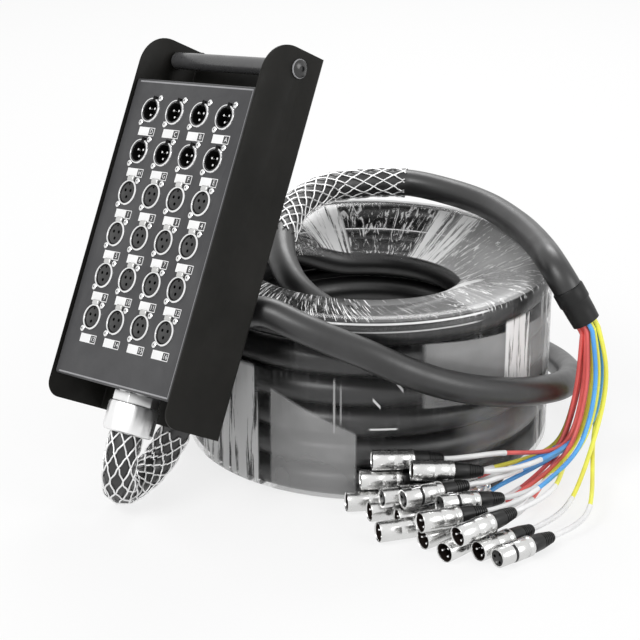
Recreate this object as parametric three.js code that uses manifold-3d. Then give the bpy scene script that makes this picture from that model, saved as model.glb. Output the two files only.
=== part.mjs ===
// Stage box snake: a 24-way stage box, its multicore cable wound in a wrapped coil,
// and the fan of plugs at the far end.
// Millimetres, +Z up, +X to the right and +Y away from the usual viewer.
// The coil lies on the floor, and the box leans back on its upper rim.

import * as THREE from 'three';
import { mergeVertices } from 'three/addons/utils/BufferGeometryUtils.js';
import Module from 'manifold-3d';

const wasm = await Module();
wasm.setup();

// Fits
const touch_gap = 0.3;          // between faces that bear on each other
const turning_gap = 0.4;        // round anything that slides or turns
const overrun = 2;              // how far a cut runs past what it cuts

// Multicore cable and its coil
const cable_diameter = 28;
const row_pitch = 30.3;         // rise from one row of turns to the next
const layer_pitch = 31.5;       // step from one layer of turns to the next
const coil_rows = 6;
const inner_rows = 4;           // the inner layer stops below the others, like a funnel
const coil_outer_radius = 180.8;
const climb_run = 175;          // arc length in which a turn climbs one row
const entry_run = 175;          // arc length in which the cable comes in under the turns
const swing_run = 177;          // arc length in which the top turn moves in or out of the funnel
const funnel_run = 378;         // arc length from where it starts to move in to where it moves out
const end_run = 303;            // arc length of the last turn after its last climb
const end_bow = 14;             // arc length by which the coil's last point goes on
const steps_per_turn = 24;
const coil_sides = 6;

// Stretch film round the coil
const film_thickness = 0.8;
const film_gap = 0.4;
const film_corner = 6;
const film_sides = 36;
const film_inner_lip = 34;
const film_crest_turn = 90;     // degrees that the film turns over the crest where it is high
const film_funnel_turn = 10;    // and where it slopes down into the funnel
const film_crest_skirt = 16.7;  // how far the film hangs below the crest
const film_funnel_skirt = 2;
const film_slack = 0.7;         // extra room over the top turn
const film_swell = 4;           // and where that turn runs askew
const film_tear_radius = 16.5;

// Wire socks
const sock_diameter = 31;
const sock_length = 165;
const fan_sock_length = 150;

// Box: connector grid
const column_pitch = 34.8;
const grid_row_pitch = 39.6;
const grid_columns = 4;
const output_rows = 2;
const input_rows = 4;
const grid_half_height = (output_rows + input_rows - 1) / 2 * grid_row_pitch;

// Box: face plate tray
const plate_thickness = 1.5;
const plate_top_margin = 30;    // from the top row's axes to the plate's upper edge
const plate_bottom_margin = 57; // from the bottom row's axes to its lower edge
const plate_top = grid_half_height + plate_top_margin;
const plate_bottom = grid_half_height + plate_bottom_margin;
const tray_bend = 2.5;
const tray_flange = 12;

// Handle
const handle_radius = 8;
const handle_finger_room = 22;  // from the plate's upper edge to the tube
const handle_edge = 9;          // from the tube to the top of the cheeks
const handle_height = plate_top + handle_finger_room + handle_radius;
const handle_setback = 38.5;    // behind the plate's face
const handle_bolt_radius = 3;
const bolt_head_radius = 8.8;
const bolt_head_height = 4.6;
const bolt_grip = 20;
const handle_sides = 12;

// Box: outer cover, a channel with two cheeks
const cover_inner_width = 168;
const cover_sheet = 2;
const cover_bend = 3;
const cheek_overhang = 22;      // the cheeks reach this far below the plate
const cheek_top = handle_height + handle_radius + handle_edge;
const cheek_bottom = plate_bottom + cheek_overhang;
const cheek_front = 3;          // the cheeks stand this far proud of the plate
const cover_depth = 66;         // from the plate's face to the back of the cover
const cheek_top_radius = 31;
const cheek_bottom_radius = 15;
const back_drop = 11;           // the back panel stops below the top of the cheeks
const back_top = cheek_top - back_drop;

// Panel connector
const collar_radius = 12;
const collar_height = 1.6;
const collar_wall = 2.3;
const jack_body_radius = 11;
const jack_depth = 24;
const jack_flange_width = 26;
const jack_flange_height = 31;
const jack_flange_thickness = 2;
const insert_recess = 2.4;
const output_recess = 12;
const contact_radius = 1.3;
const contact_circle = 4.6;
const contact_depth = 7;
const pin_length = 9;
const collar_sides = 10;
const contact_sides = 4;

// Release tab of an input connector
const tab_width = 8.4;
const tab_reach = 5.8;
const tab_standoff = 10.6;      // from the connector's axis to the tab
const tab_proud = 2.4;
const tab_root = 2.6;
const tab_lip = 1.2;
const tab_travel = 1.2;

// Cable gland on the bottom end wall
const gland_setback = 33;
const gland_collar_radius = 21.6;
const gland_collar_height = 10;
const gland_neck_radius = 18;
const gland_neck_length = 16;
const gland_bore_radius = 16;
const gland_cap_radius = 23.5;
const gland_cap_length = 27;
const gland_spigot_radius = 19;
const gland_spigot_length = 9;
const gland_slit = 2.4;
const gland_slit_depth = 7;
const gland_mouth_depth = 6;
const gland_sides = 16;

// Breakout boot and the leads
const boot_radius = 15.2;
const boot_end_radius = 13.4;
const hub_thickness = 3;
const lead_diameter = 5;
const lead_sides = 4;
const lead_steps = 9;
const lead_turn = 2.4;          // radians from one lead of the bundle to the next
const bundle_sides = 10;

// Cable plugs
const plug_radius = 9.5;
const plug_shell_length = 44;
const plug_boot_length = 28;
const plug_boot_radius = 7.8;
const plug_tail_radius = 4.4;
const plug_lip = 1.6;
const plug_cup_depth = 14;
const plug_pin_length = 10;
const plug_insert_recess = 1.4;
const plug_sides = 10;
const latch_width = 5;
const latch_length = 9;
const latch_height = 3;
const latch_proud = 0.7;
const latch_travel = 0.9;
const latch_setback = 8;

// How the box stands
const box_turn = -50;           // degrees about the vertical
const box_tilt = 61.6;          // degrees of the face back from lying flat
const box_roll = 8.6;           // degrees in its own plane
const box_place = [-193.2, -145, 266.5];

// Route of the cable from the gland to the coil, from the floor under the coil's centre
const box_tail_route = [
  [-226.2, -213.3, 69], [-230, -216, 48], [-231, -203, 28], [-226, -181, 17], [-215, -158, 15.5],
  [-201, -141, 24], [-188, -132, 44], [-174, -131, 72], [-160, -136, 102], [-147, -143, 130],
  [-134, -151, 157], [-119, -160, 178], [-98, -171.5, 187.5], [-65.4, -186.8, 178.5],
  [-38.5, -194.1, 169], [-4.5, -197.8, 155.8], [24.4, -196.4, 141.6], [59.4, -188.8, 125.5],
  [89.6, -176.4, 113.5], [128.1, -150.7, 99], [167.3, -105.3, 82], [191, -62, 69],
  [203, -15, 57], [205, 40, 43], [197, 102, 30], [172, 167, 20], [130, 226, 16], [75, 276, 15.2],
  [15, 298, 15.2], [-42, 290, 15.2], [-76, 261, 15.2], [-80, 226, 15.2], [-52, 203, 15.2],
];

// Route of the cable from the coil to the breakout boot
const fan_tail_route = [
  [99.8, -28.6, 108.2], [81.8, -63.9, 114.5], [51.9, -89.9, 125], [14.4, -102.8, 138],
  [-19.6, -102, 148.5], [-41.5, -95.2, 158], [-66.8, -79.5, 173], [-82, -45, 187], [-86, 5, 198.5],
  [-80.6, 41, 201.5], [-73, 80.1, 204], [-57.8, 113.7, 205], [-35.9, 144.5, 205],
  [-12.5, 155.1, 205], [17.3, 162.1, 205], [49.1, 161.8, 204], [94.9, 133, 201.5],
  [124.8, 98.7, 200], [150.9, 37.5, 199], [161.6, -4, 199], [168, -45, 200],
  [171.8, -74.4, 199.5], [176.8, -89, 194],
];
const boot_start = [184.7, -96.6, 182];
const boot_end = [203.7, -102.5, 150];

// Way of the leads from the boot to the floor, and how far they spread at each point
const lead_way = [[210, -108, 128], [216, -104, 92], [213, -98, 55], [203, -104, 24], [186, -128, 14]];
const lead_spread = [11, 14, 18, 20, 24];

// Points that a lead passes on its way round other plugs
const lead_detours = {
  plug_11: [[142, -212, 15], [127, -230, 17]],
};

// Plugs: the front face's middle as shares of the plug's diameter, the heading of the axis
// and how far it dips towards the lead, in degrees
const plug_place_shares = [
  { name: 'plug_01', kind: 'male', at: [-1.229, -10.556, 0.559], heading: 10.9, dip: 1.4 },
  { name: 'plug_02', kind: 'male', at: [-0.149, -11.593, 0.556], heading: 18.8, dip: 1.4 },
  { name: 'plug_03', kind: 'male', at: [1.16, -12.236, 0.52], heading: 18.8, dip: 0.4 },
  { name: 'plug_04', kind: 'male', at: [0.223, -13.678, 0.553], heading: 19.7, dip: 1.2 },
  { name: 'plug_05', kind: 'male', at: [2.289, -14.351, 0.526], heading: 34.7, dip: -0.5 },
  { name: 'plug_06', kind: 'male', at: [3.223, -15.584, 0.505], heading: 44.5, dip: 0.0 },
  { name: 'plug_07', kind: 'male', at: [4.788, -15.488, 0.52], heading: 39.6, dip: 0.4 },
  { name: 'plug_08', kind: 'female', at: [5.603, -16.151, 0.526], heading: 38.0, dip: 0.5 },
  { name: 'plug_09', kind: 'female', at: [1.411, -12.762, 1.821], heading: 25.7, dip: 0.3 },
  { name: 'plug_10', kind: 'female', at: [3.126, -13.075, 1.7], heading: 26.6, dip: 7.1 },
  { name: 'plug_11', kind: 'male', at: [2.127, -14.676, 1.586], heading: 25.6, dip: 3.0 },
  { name: 'plug_12', kind: 'male', at: [3.781, -15.852, 1.474], heading: 37.0, dip: -3.0 },
];

// Materials
const finish = (color, roughness, metalness) =>
  new THREE.MeshStandardMaterial({ color, roughness, metalness });
const plate_paint = finish(0x4a4b4e, 0.6, 0.1);
const cover_paint = finish(0x1b1b1c, 0.55, 0.1);
const chrome = finish(0xc9cacd, 0.25, 1);
const nickel = finish(0xbcbdc0, 0.3, 1);
const dark_tube = finish(0x2c2d30, 0.35, 0.5);
const cable_jacket = finish(0x202123, 0.6, 0);
const film = finish(0xd8dadd, 0.15, 0);
const shrink = finish(0x0e0e0f, 0.6, 0);
const lead_jacket = finish(0xc23a3a, 0.5, 0);

// Booleans
function solid_of(geometry) {
  const bare = geometry.clone();
  for (const name of Object.keys(bare.attributes)) {
    if (name !== 'position') bare.deleteAttribute(name);
  }
  const merged = mergeVertices(bare, 1e-3);
  const index = Array.from(merged.index.array);
  const corners = [];
  for (let i = 0; i < index.length; i += 3) {
    const [a, b, c] = index.slice(i, i + 3);
    if (a !== b && b !== c && c !== a) corners.push(a, b, c);
  }
  const vertProperties = new Float32Array(merged.attributes.position.array);
  const made = new wasm.Manifold(new wasm.Mesh({
    numProp: 3, vertProperties, triVerts: new Uint32Array(corners),
  }));
  if (made.volume() > 0) return made;
  for (let i = 0; i < corners.length; i += 3) corners.splice(i, 3, corners[i], corners[i + 2], corners[i + 1]);
  return new wasm.Manifold(new wasm.Mesh({
    numProp: 3, vertProperties, triVerts: new Uint32Array(corners),
  }));
}

function geometry_of(solid) {
  const mesh = solid.getMesh();
  const geometry = new THREE.BufferGeometry();
  geometry.setAttribute('position', new THREE.BufferAttribute(new Float32Array(mesh.vertProperties), 3));
  geometry.setIndex(Array.from(mesh.triVerts));
  return geometry;
}

const join = (...solids) => solids.reduce((whole, next) => whole.add(next));
const cut = (solid, ...tools) => tools.reduce((rest, tool) => rest.subtract(tool), solid);

// The largest body of a solid that a cut has parted
function main_body(solid) {
  const bodies = solid.decompose();
  return bodies.reduce((best, body) => (body.volume() > best.volume() ? body : best));
}

// Shapes and simple solids
function polygon(points) {
  return new THREE.Shape(points.map(([x, y]) => new THREE.Vector2(x, y)));
}

function ring_of(radius, sides) {
  const points = [];
  for (let i = 0; i < sides; i += 1) {
    const angle = (i + 0.5) / sides * 2 * Math.PI;
    points.push([radius * Math.cos(angle), radius * Math.sin(angle)]);
  }
  return polygon(points);
}

function extruded(shape, length, curveSegments = 6) {
  return new THREE.ExtrudeGeometry(shape, { depth: length, bevelEnabled: false, curveSegments });
}

// A shape drawn in (x, z) and run along y from y_start
function along_y(shape, y_start, length) {
  const geometry = extruded(shape, length);
  const basis = new THREE.Matrix4().makeBasis(
    new THREE.Vector3(1, 0, 0), new THREE.Vector3(0, 0, 1), new THREE.Vector3(0, -1, 0));
  return geometry.applyMatrix4(basis).translate(0, y_start + length, 0);
}

// A shape drawn in (y, z) and run along x, centred on x = 0
function along_x(shape, length) {
  const geometry = extruded(shape, length);
  const basis = new THREE.Matrix4().makeBasis(
    new THREE.Vector3(0, 1, 0), new THREE.Vector3(0, 0, 1), new THREE.Vector3(1, 0, 0));
  return geometry.applyMatrix4(basis).translate(-length / 2, 0, 0);
}

// A profile of [radius, height] points turned about +Z
function turned(profile, sides) {
  const points = profile.map(([r, h]) => new THREE.Vector2(r, h));
  return new THREE.LatheGeometry(points, sides).rotateX(Math.PI / 2);
}

function closed_profile(points) {
  return [...points, points[0]];
}

function rod(radius, from, to, sides) {
  return turned([[0, from], [radius, from], [radius, to], [0, to]], sides);
}

function block(width, depth, height, x, y, z) {
  return new THREE.BoxGeometry(width, depth, height).translate(x, y, z);
}

const vector = ([x, y, z]) => new THREE.Vector3(x, y, z);

// A round tube along points
function tube(points, radius, sides, steps) {
  const path = new THREE.CatmullRomCurve3(points, false, 'centripetal');
  return new THREE.ExtrudeGeometry(ring_of(radius, sides), { steps, extrudePath: path, bevelEnabled: false });
}

// The scene graph
const object = new THREE.Group();
const box = new THREE.Group();

function box_frame() {
  const turn = new THREE.Group();
  const tilt = new THREE.Group();
  turn.position.copy(vector(box_place));
  turn.rotation.z = THREE.MathUtils.degToRad(box_turn);
  tilt.rotation.x = THREE.MathUtils.degToRad(box_tilt);
  box.rotation.z = THREE.MathUtils.degToRad(box_roll);
  object.add(turn);
  turn.add(tilt);
  tilt.add(box);
  object.updateMatrixWorld(true);
}
box_frame();

function piece(name, shape, material, parent = object) {
  const geometry = shape.isBufferGeometry ? geometry_of(solid_of(shape)) : geometry_of(shape);
  geometry.computeVertexNormals();
  const mesh = new THREE.Mesh(geometry, material);
  mesh.name = name;
  parent.add(mesh);
  return mesh;
}

// Outer cover: back panel and two cheeks, folded from one sheet
const cover_half_width = cover_inner_width / 2 + cover_sheet;
const cover_back = -cover_depth;

function cover_section() {
  const shape = new THREE.Shape();
  const side = cover_half_width;
  const inside = cover_inner_width / 2;
  const bend_x = side - cover_bend;
  const bend_z = cover_back + cover_bend;
  const inner_bend = cover_bend - cover_sheet;
  shape.moveTo(-side, cheek_front);
  shape.lineTo(-side, bend_z);
  shape.absarc(-bend_x, bend_z, cover_bend, Math.PI, 1.5 * Math.PI, false);
  shape.lineTo(bend_x, cover_back);
  shape.absarc(bend_x, bend_z, cover_bend, 1.5 * Math.PI, 2 * Math.PI, false);
  shape.lineTo(side, cheek_front);
  shape.lineTo(inside, cheek_front);
  shape.lineTo(inside, bend_z);
  shape.absarc(bend_x, bend_z, inner_bend, 2 * Math.PI, 1.5 * Math.PI, true);
  shape.lineTo(-bend_x, cover_back + cover_sheet);
  shape.absarc(-bend_x, bend_z, inner_bend, 1.5 * Math.PI, Math.PI, true);
  shape.closePath();
  return shape;
}

function cheek_outline() {
  const shape = new THREE.Shape();
  shape.moveTo(-cheek_bottom, cover_back);
  shape.lineTo(cheek_top, cover_back);
  shape.lineTo(cheek_top, cheek_front - cheek_top_radius);
  shape.absarc(cheek_top - cheek_top_radius, cheek_front - cheek_top_radius,
    cheek_top_radius, 0, Math.PI / 2, false);
  shape.lineTo(cheek_bottom_radius - cheek_bottom, cheek_front);
  shape.absarc(cheek_bottom_radius - cheek_bottom, cheek_front - cheek_bottom_radius,
    cheek_bottom_radius, Math.PI / 2, Math.PI, false);
  shape.closePath();
  return shape;
}

function outer_cover() {
  const channel = solid_of(along_y(cover_section(), -cheek_bottom, cheek_top + cheek_bottom));
  const outline = solid_of(along_x(cheek_outline(), 2 * (cover_half_width + overrun)));
  const open_top = cheek_top - back_top + overrun;
  const above_back = solid_of(block(cover_inner_width - 2 * cover_bend, open_top, cover_depth,
    0, back_top + open_top / 2, cover_back + cover_bend));
  const bolt_holes = solid_of(rod(handle_bolt_radius + touch_gap,
    -cover_half_width - overrun, cover_half_width + overrun, collar_sides)
    .rotateY(Math.PI / 2).translate(0, handle_height, -handle_setback));
  return cut(channel.intersect(outline), above_back, bolt_holes);
}

// Face plate: a tray with end walls and fixing flanges, holding the output connectors
const plate_width = cover_inner_width - 2 * turning_gap;
const tray_back = cover_back + cover_sheet + touch_gap;

function tray_section() {
  const shape = new THREE.Shape();
  const bottom = -plate_bottom;
  const inner_bend = tray_bend - plate_thickness;
  const low = tray_back + plate_thickness;
  shape.moveTo(bottom + tray_flange, tray_back);
  shape.lineTo(bottom, tray_back);
  shape.lineTo(bottom, -tray_bend);
  shape.absarc(bottom + tray_bend, -tray_bend, tray_bend, Math.PI, Math.PI / 2, true);
  shape.lineTo(plate_top - tray_bend, 0);
  shape.absarc(plate_top - tray_bend, -tray_bend, tray_bend, Math.PI / 2, 0, true);
  shape.lineTo(plate_top, tray_back);
  shape.lineTo(plate_top - tray_flange, tray_back);
  shape.lineTo(plate_top - tray_flange, low);
  shape.lineTo(plate_top - plate_thickness, low);
  shape.lineTo(plate_top - plate_thickness, -tray_bend);
  shape.absarc(plate_top - tray_bend, -tray_bend, inner_bend, 0, Math.PI / 2, false);
  shape.lineTo(bottom + tray_bend, -plate_thickness);
  shape.absarc(bottom + tray_bend, -tray_bend, inner_bend, Math.PI / 2, Math.PI, false);
  shape.lineTo(bottom + plate_thickness, low);
  shape.lineTo(bottom + tray_flange, low);
  shape.closePath();
  return shape;
}

// Centres of the connectors, row 0 at the top
function grid_place(row, column) {
  return [
    (column - (grid_columns - 1) / 2) * column_pitch,
    grid_half_height - row * grid_row_pitch,
  ];
}

function grid_places(first_row, row_count) {
  const places = [];
  for (let row = first_row; row < first_row + row_count; row += 1) {
    for (let column = 0; column < grid_columns; column += 1) places.push(grid_place(row, column));
  }
  return places;
}

// The three contacts of a connector, as rods about its axis
function contact_rods(radius, from, to, circle = contact_circle) {
  const rods = [90, 210, 330].map((degrees) => {
    const angle = THREE.MathUtils.degToRad(degrees);
    return solid_of(rod(radius, from, to, contact_sides)
      .translate(circle * Math.cos(angle), circle * Math.sin(angle), 0));
  });
  return join(...rods);
}

function output_connector() {
  const cup_radius = collar_radius - collar_wall;
  const shell = join(
    solid_of(rod(collar_radius, -plate_thickness, collar_height, collar_sides)),
    solid_of(rod(jack_body_radius, -jack_depth, 0, collar_sides)));
  const floor = collar_height - output_recess;
  const cup = solid_of(rod(cup_radius, floor, collar_height + overrun, collar_sides));
  const pins = contact_rods(contact_radius, floor - overrun, floor + pin_length);
  return { shell, cup, pins };
}

// The opening that a release tab moves in, seen from its connector's axis
function tab_window(depth) {
  const width = tab_width + 2 * turning_gap;
  const reach = tab_reach + 2 * turning_gap;
  return solid_of(block(width, reach, depth + collar_height + overrun,
    0, tab_standoff + tab_reach / 2, (collar_height + overrun - depth) / 2));
}

function face_plate() {
  let plate = solid_of(along_x(tray_section(), plate_width));
  const output = output_connector();
  for (const [x, y] of grid_places(0, output_rows)) {
    plate = cut(join(plate, output.shell.translate([x, y, 0])), output.cup.translate([x, y, 0]));
    plate = join(plate, output.pins.translate([x, y, 0]));
  }
  const hole = join(
    solid_of(rod(collar_radius + touch_gap, -plate_thickness - overrun, overrun, collar_sides)),
    tab_window(plate_thickness + overrun));
  for (const [x, y] of grid_places(output_rows, input_rows)) plate = cut(plate, hole.translate([x, y, 0]));
  const gland_hole = solid_of(rod(gland_spigot_radius + touch_gap, -plate_thickness - overrun, overrun, gland_sides)
    .rotateX(Math.PI / 2).translate(0, -plate_bottom, -gland_setback));
  return cut(plate, gland_hole);
}

// Input connector, fixed behind the plate with its collar through it
function input_connector() {
  const flange_front = -plate_thickness - touch_gap;
  const flange_back = flange_front - jack_flange_thickness;
  const dish = collar_radius - collar_wall;
  const body = solid_of(turned([
    [0, -jack_depth], [jack_body_radius, -jack_depth], [jack_body_radius, flange_back],
    [collar_radius, flange_back], [collar_radius, collar_height], [dish, collar_height],
    [dish, collar_height - insert_recess], [0, collar_height - insert_recess]], collar_sides));
  const flange = solid_of(block(jack_flange_width, jack_flange_height, jack_flange_thickness,
    0, 0, (flange_front + flange_back) / 2));
  const face = collar_height - insert_recess;
  const sockets = contact_rods(contact_radius, face - contact_depth, face + overrun);
  const clear_of_tab = -flange_back + tab_travel;
  return cut(join(body, flange), sockets, tab_window(clear_of_tab));
}

// Release tab: a bent metal thumb piece that is pressed into the panel
function release_tab() {
  const start = tab_standoff;
  const end = tab_standoff + tab_reach;
  const profile = polygon([
    [start, -tab_root], [end, -tab_root], [end, tab_proud - tab_lip],
    [end - tab_lip, tab_proud], [start + tab_lip, tab_proud], [start, tab_proud - tab_lip]]);
  return along_x(profile, tab_width);
}

// Handle: a tube between the cheeks, held by a bolt at each end
function handle_bar() {
  const half = cover_inner_width / 2 - touch_gap;
  const bore = handle_bolt_radius + touch_gap;
  const depth = bolt_grip + touch_gap;
  return turned([
    [0, depth - half], [bore, depth - half], [bore, -half], [handle_radius, -half],
    [handle_radius, half], [bore, half], [bore, half - depth], [0, half - depth]], handle_sides)
    .rotateY(Math.PI / 2).translate(0, handle_height, -handle_setback);
}

function handle_bolt(side) {
  const seat = cover_half_width + touch_gap;
  const rim = bolt_head_height / 4;
  const shoulder = bolt_head_radius * 0.72;
  return turned([
    [0, seat - cover_sheet - bolt_grip], [handle_bolt_radius, seat - cover_sheet - bolt_grip],
    [handle_bolt_radius, seat], [bolt_head_radius, seat], [bolt_head_radius, seat + rim],
    [shoulder, seat + bolt_head_height * 0.85], [0, seat + bolt_head_height]], handle_sides)
    .rotateY(side * Math.PI / 2).translate(0, handle_height, -handle_setback);
}

// Cable gland: hexagon body with a neck, and the slit cap that grips the cable
const gland_top = -plate_bottom - touch_gap;
const cap_top = gland_top - gland_collar_height - touch_gap;
const cap_end = cap_top - gland_cap_length;

function gland_frame(geometry) {
  return geometry.rotateX(-Math.PI / 2).translate(0, 0, -gland_setback);
}

function gland_body() {
  const collar = solid_of(rod(gland_collar_radius, cap_top + touch_gap, gland_top, 6));
  const neck = solid_of(rod(gland_neck_radius, cap_top - gland_neck_length, gland_top, gland_sides));
  const spigot = solid_of(rod(gland_spigot_radius, gland_top - overrun, gland_top + gland_spigot_length, gland_sides));
  const bore = solid_of(rod(gland_bore_radius, cap_top - gland_neck_length - overrun,
    gland_top + gland_spigot_length + overrun, gland_sides));
  return cut(join(collar, neck, spigot), bore);
}

function gland_cap() {
  const thread = gland_neck_radius + touch_gap;
  const stop = cap_top - gland_neck_length - touch_gap;
  const crown = (cap_end - stop) / 2;
  const shell = solid_of(turned(closed_profile([
    [gland_bore_radius, cap_end], [gland_cap_radius + crown, cap_end],
    [gland_cap_radius, cap_end - crown], [gland_cap_radius, cap_top], [thread, cap_top],
    [thread, stop], [gland_bore_radius, stop]]), gland_sides));
  const slit = solid_of(block(gland_slit_depth, 2 * gland_cap_radius, gland_slit,
    gland_cap_radius, 0, (cap_top + cap_end) / 2));
  return cut(shell, slit);
}

function build_box() {
  piece('outer_cover', outer_cover(), cover_paint, box);
  piece('face_plate', face_plate(), plate_paint, box);
  piece('handle_bar', handle_bar(), dark_tube, box);
  piece('handle_bolt_right', handle_bolt(1), chrome, box);
  piece('handle_bolt_left', handle_bolt(-1), chrome, box);
  piece('gland_body', gland_frame(geometry_of(gland_body())), chrome, box);
  piece('gland_cap', gland_frame(geometry_of(gland_cap())), chrome, box);
  const jack = input_connector();
  const tab = solid_of(release_tab());
  grid_places(output_rows, input_rows).forEach(([x, y], i) => {
    const number = String(i + 1).padStart(2, '0');
    piece(`input_jack_${number}`, jack.translate([x, y, 0]), chrome, box);
    piece(`release_tab_${number}`, tab.translate([x, y, 0]), nickel, box);
  });
}

// Coil: one cable wound outside row by row going up, then a middle layer going down,
// then an inner layer going up. Each turn lies flat and climbs in one short run. The
// middle layer's first turn dips into the hollow over the inner layer along the far side.
const cable_radius = cable_diameter / 2;
const layer_radii = [0, 1, 2].map((layer) => coil_outer_radius - cable_radius - layer * layer_pitch);
const first_row_height = film_thickness + film_gap + cable_radius;
const coil_top = first_row_height + (coil_rows - 1) * row_pitch + cable_radius;
const film_top = coil_top + film_gap + film_thickness;
const ease = (t) => (1 - Math.cos(Math.PI * Math.min(1, Math.max(0, t)))) / 2;
const arc_degrees = (run, radius) => THREE.MathUtils.radToDeg(run / radius);
const row_height = (row) => first_row_height + row * row_pitch;

// Degrees wound at which each change of row or layer starts, and how long it takes
function winding_changes() {
  const [outer, middle, inner] = layer_radii;
  const climb = [outer, middle, inner].map((radius) => arc_degrees(climb_run, radius));
  const changes = [];
  for (let row = 1; row < coil_rows; row += 1) changes.push({ at: row * 360, long: climb[0], row: 1 });
  const step_in_top = coil_rows * 360 - climb[0];
  changes.push({ at: step_in_top, long: climb[0], layer: 1 });
  for (let row = 1; row < coil_rows; row += 1) {
    changes.push({ at: step_in_top + row * 360 - climb[1], long: climb[1], row: -1 });
  }
  const step_in_low = step_in_top + coil_rows * 360 - climb[1] - climb[1];
  changes.push({ at: step_in_low, long: climb[1], layer: 1 });
  const first_turn = Math.ceil((step_in_low + climb[1] + climb[2]) / 360);
  for (let row = 1; row < inner_rows; row += 1) {
    changes.push({ at: (first_turn + row - 1) * 360 - climb[2], long: climb[2], row: 1 });
  }
  return changes;
}
const changes = winding_changes();

// How far the top turn has swung into the funnel, from 0 to a quarter turn
function funnel_swing(degrees) {
  const start = coil_rows * 360;
  const long = arc_degrees(swing_run, layer_radii[1]);
  const back = start + arc_degrees(funnel_run, layer_radii[1]);
  return Math.PI / 2 * (ease((degrees - start) / long) - ease((degrees - back) / long));
}

const swung_in = (swing) => layer_pitch * Math.sin(swing);
const swung_down = (swing) => row_pitch * (1 - Math.cos(swing));
const wind_start = arc_degrees(entry_run, layer_radii[0]) + arc_degrees(climb_run, layer_radii[0]);
const last_change = changes[changes.length - 1];
const entry_angle = 170;        // where zero degrees wound lies, counted from +X
const wind_end = last_change.at + last_change.long + arc_degrees(end_run, layer_radii[2]);

function wound(degrees) {
  let row = 0;
  let layer = 0;
  for (const change of changes) {
    const share = ease((degrees - change.at) / change.long);
    row += (change.row ?? 0) * share;
    layer += (change.layer ?? 0) * share;
  }
  const swing = funnel_swing(degrees);
  const radius = layer_radii[0] - layer * layer_pitch - swung_in(swing);
  const angle = THREE.MathUtils.degToRad(entry_angle - degrees);
  return new THREE.Vector3(radius * Math.cos(angle), radius * Math.sin(angle),
    row_height(row) - swung_down(swing));
}

// Points of the coil, with a straight run at its start and a short bow at its end
function coil_points() {
  const step = 360 / steps_per_turn;
  const points = [];
  const count = Math.round((wind_end - wind_start) / step);
  for (let i = 0; i <= count; i += 1) points.push(wound(wind_start + i * step));
  const lead_in = points[0].clone().sub(points[1]).setLength(cable_diameter).add(points[0]);
  const bow = arc_degrees(end_bow, layer_radii[2]);
  return [lead_in, ...points, wound(wind_start + count * step + bow)];
}

// A tube of flat-sided sections through points, closed at both ends
function sectioned_tube(points, radius, sides) {
  let across = new THREE.Vector3(0, 0, 1);
  const rings = points.map((point, i) => {
    const before = points[Math.max(0, i - 1)];
    const after = points[Math.min(points.length - 1, i + 1)];
    const along = after.clone().sub(before).normalize();
    across = across.clone().sub(along.clone().multiplyScalar(across.dot(along))).normalize();
    const beside = along.clone().cross(across);
    const ring = [];
    for (let k = 0; k < sides; k += 1) {
      const angle = k / sides * 2 * Math.PI;
      ring.push(point.clone()
        .add(across.clone().multiplyScalar(radius * Math.cos(angle)))
        .add(beside.clone().multiplyScalar(radius * Math.sin(angle))));
    }
    return ring;
  });
  return loft(rings);
}

// Least gap of the coil to itself, between points at least one turn's third apart
function least_self_gap(points) {
  let least = Infinity;
  for (let i = 0; i < points.length; i += 1) {
    for (let k = i + steps_per_turn / 3; k < points.length; k += 1) {
      least = Math.min(least, points[i].distanceTo(points[k]));
    }
  }
  return least - cable_diameter;
}

// Film: a shell round the coil, open on the inside of the hole, torn where the cable
// passes. On the near side it turns over a crest, and on the far side it slopes down on
// the turn that dips into the funnel. The swing of that turn sets its outline.
function film_skin(swing, depth) {
  const share = swing / (Math.PI / 2);
  const reach = cable_radius + film_gap + film_thickness - depth;
  const swollen = reach + film_slack + film_swell * Math.sin(2 * swing);
  const top = row_height(coil_rows - 1);
  const out = layer_radii[0];
  const turn_at = layer_radii[1] - swung_in(swing);
  const height = top - swung_down(swing);
  const slope = Math.atan2(top - height, out - turn_at);
  const bend = THREE.MathUtils.degToRad(film_crest_turn + (film_funnel_turn - film_crest_turn) * share);
  const skirt = film_crest_skirt + (film_funnel_skirt - film_crest_skirt) * share;
  const corner = swollen / Math.cos(bend / 2);
  const lean = slope + bend;
  return [
    [out - reach * Math.tan(slope / 2) - film_slack, top + reach],
    [turn_at - corner * Math.sin(slope + bend / 2), height + corner * Math.cos(slope + bend / 2)],
    [turn_at - swollen * Math.sin(lean) - skirt * Math.cos(lean),
      height + swollen * Math.cos(lean) - skirt * Math.sin(lean)],
  ];
}

function film_outline(swing) {
  const outside = coil_outer_radius + film_gap + film_thickness;
  const chord = Math.cos(Math.PI / steps_per_turn);
  const inside = layer_radii[2] * chord - cable_radius - film_gap - film_thickness;
  const soft = film_corner;
  const t = film_thickness;
  return [
    [inside, 0], [outside - soft, 0], [outside, soft], [outside, film_top - soft],
    [outside - soft, film_top], ...film_skin(swing, 0), ...film_skin(swing, t).reverse(),
    [outside - soft, film_top - t], [outside - t, film_top - soft], [outside - t, soft],
    [outside - soft, t], [inside + t, t], [inside + t, film_inner_lip], [inside, film_inner_lip]];
}

function film_shell(tears) {
  const rings = [];
  for (let i = 0; i < film_sides; i += 1) {
    const degrees = coil_rows * 360 + i / film_sides * 360;
    const angle = THREE.MathUtils.degToRad(entry_angle - degrees);
    rings.push(film_outline(funnel_swing(degrees)).map(([radius, height]) =>
      new THREE.Vector3(radius * Math.cos(angle), radius * Math.sin(angle), height)));
  }
  return main_body(cut(solid_of(loft([...rings, rings[0]], false)), ...tears));
}

// The two tails
function exit_point(height) {
  return new THREE.Vector3(0, height, -gland_setback).applyMatrix4(box.matrixWorld);
}

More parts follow.
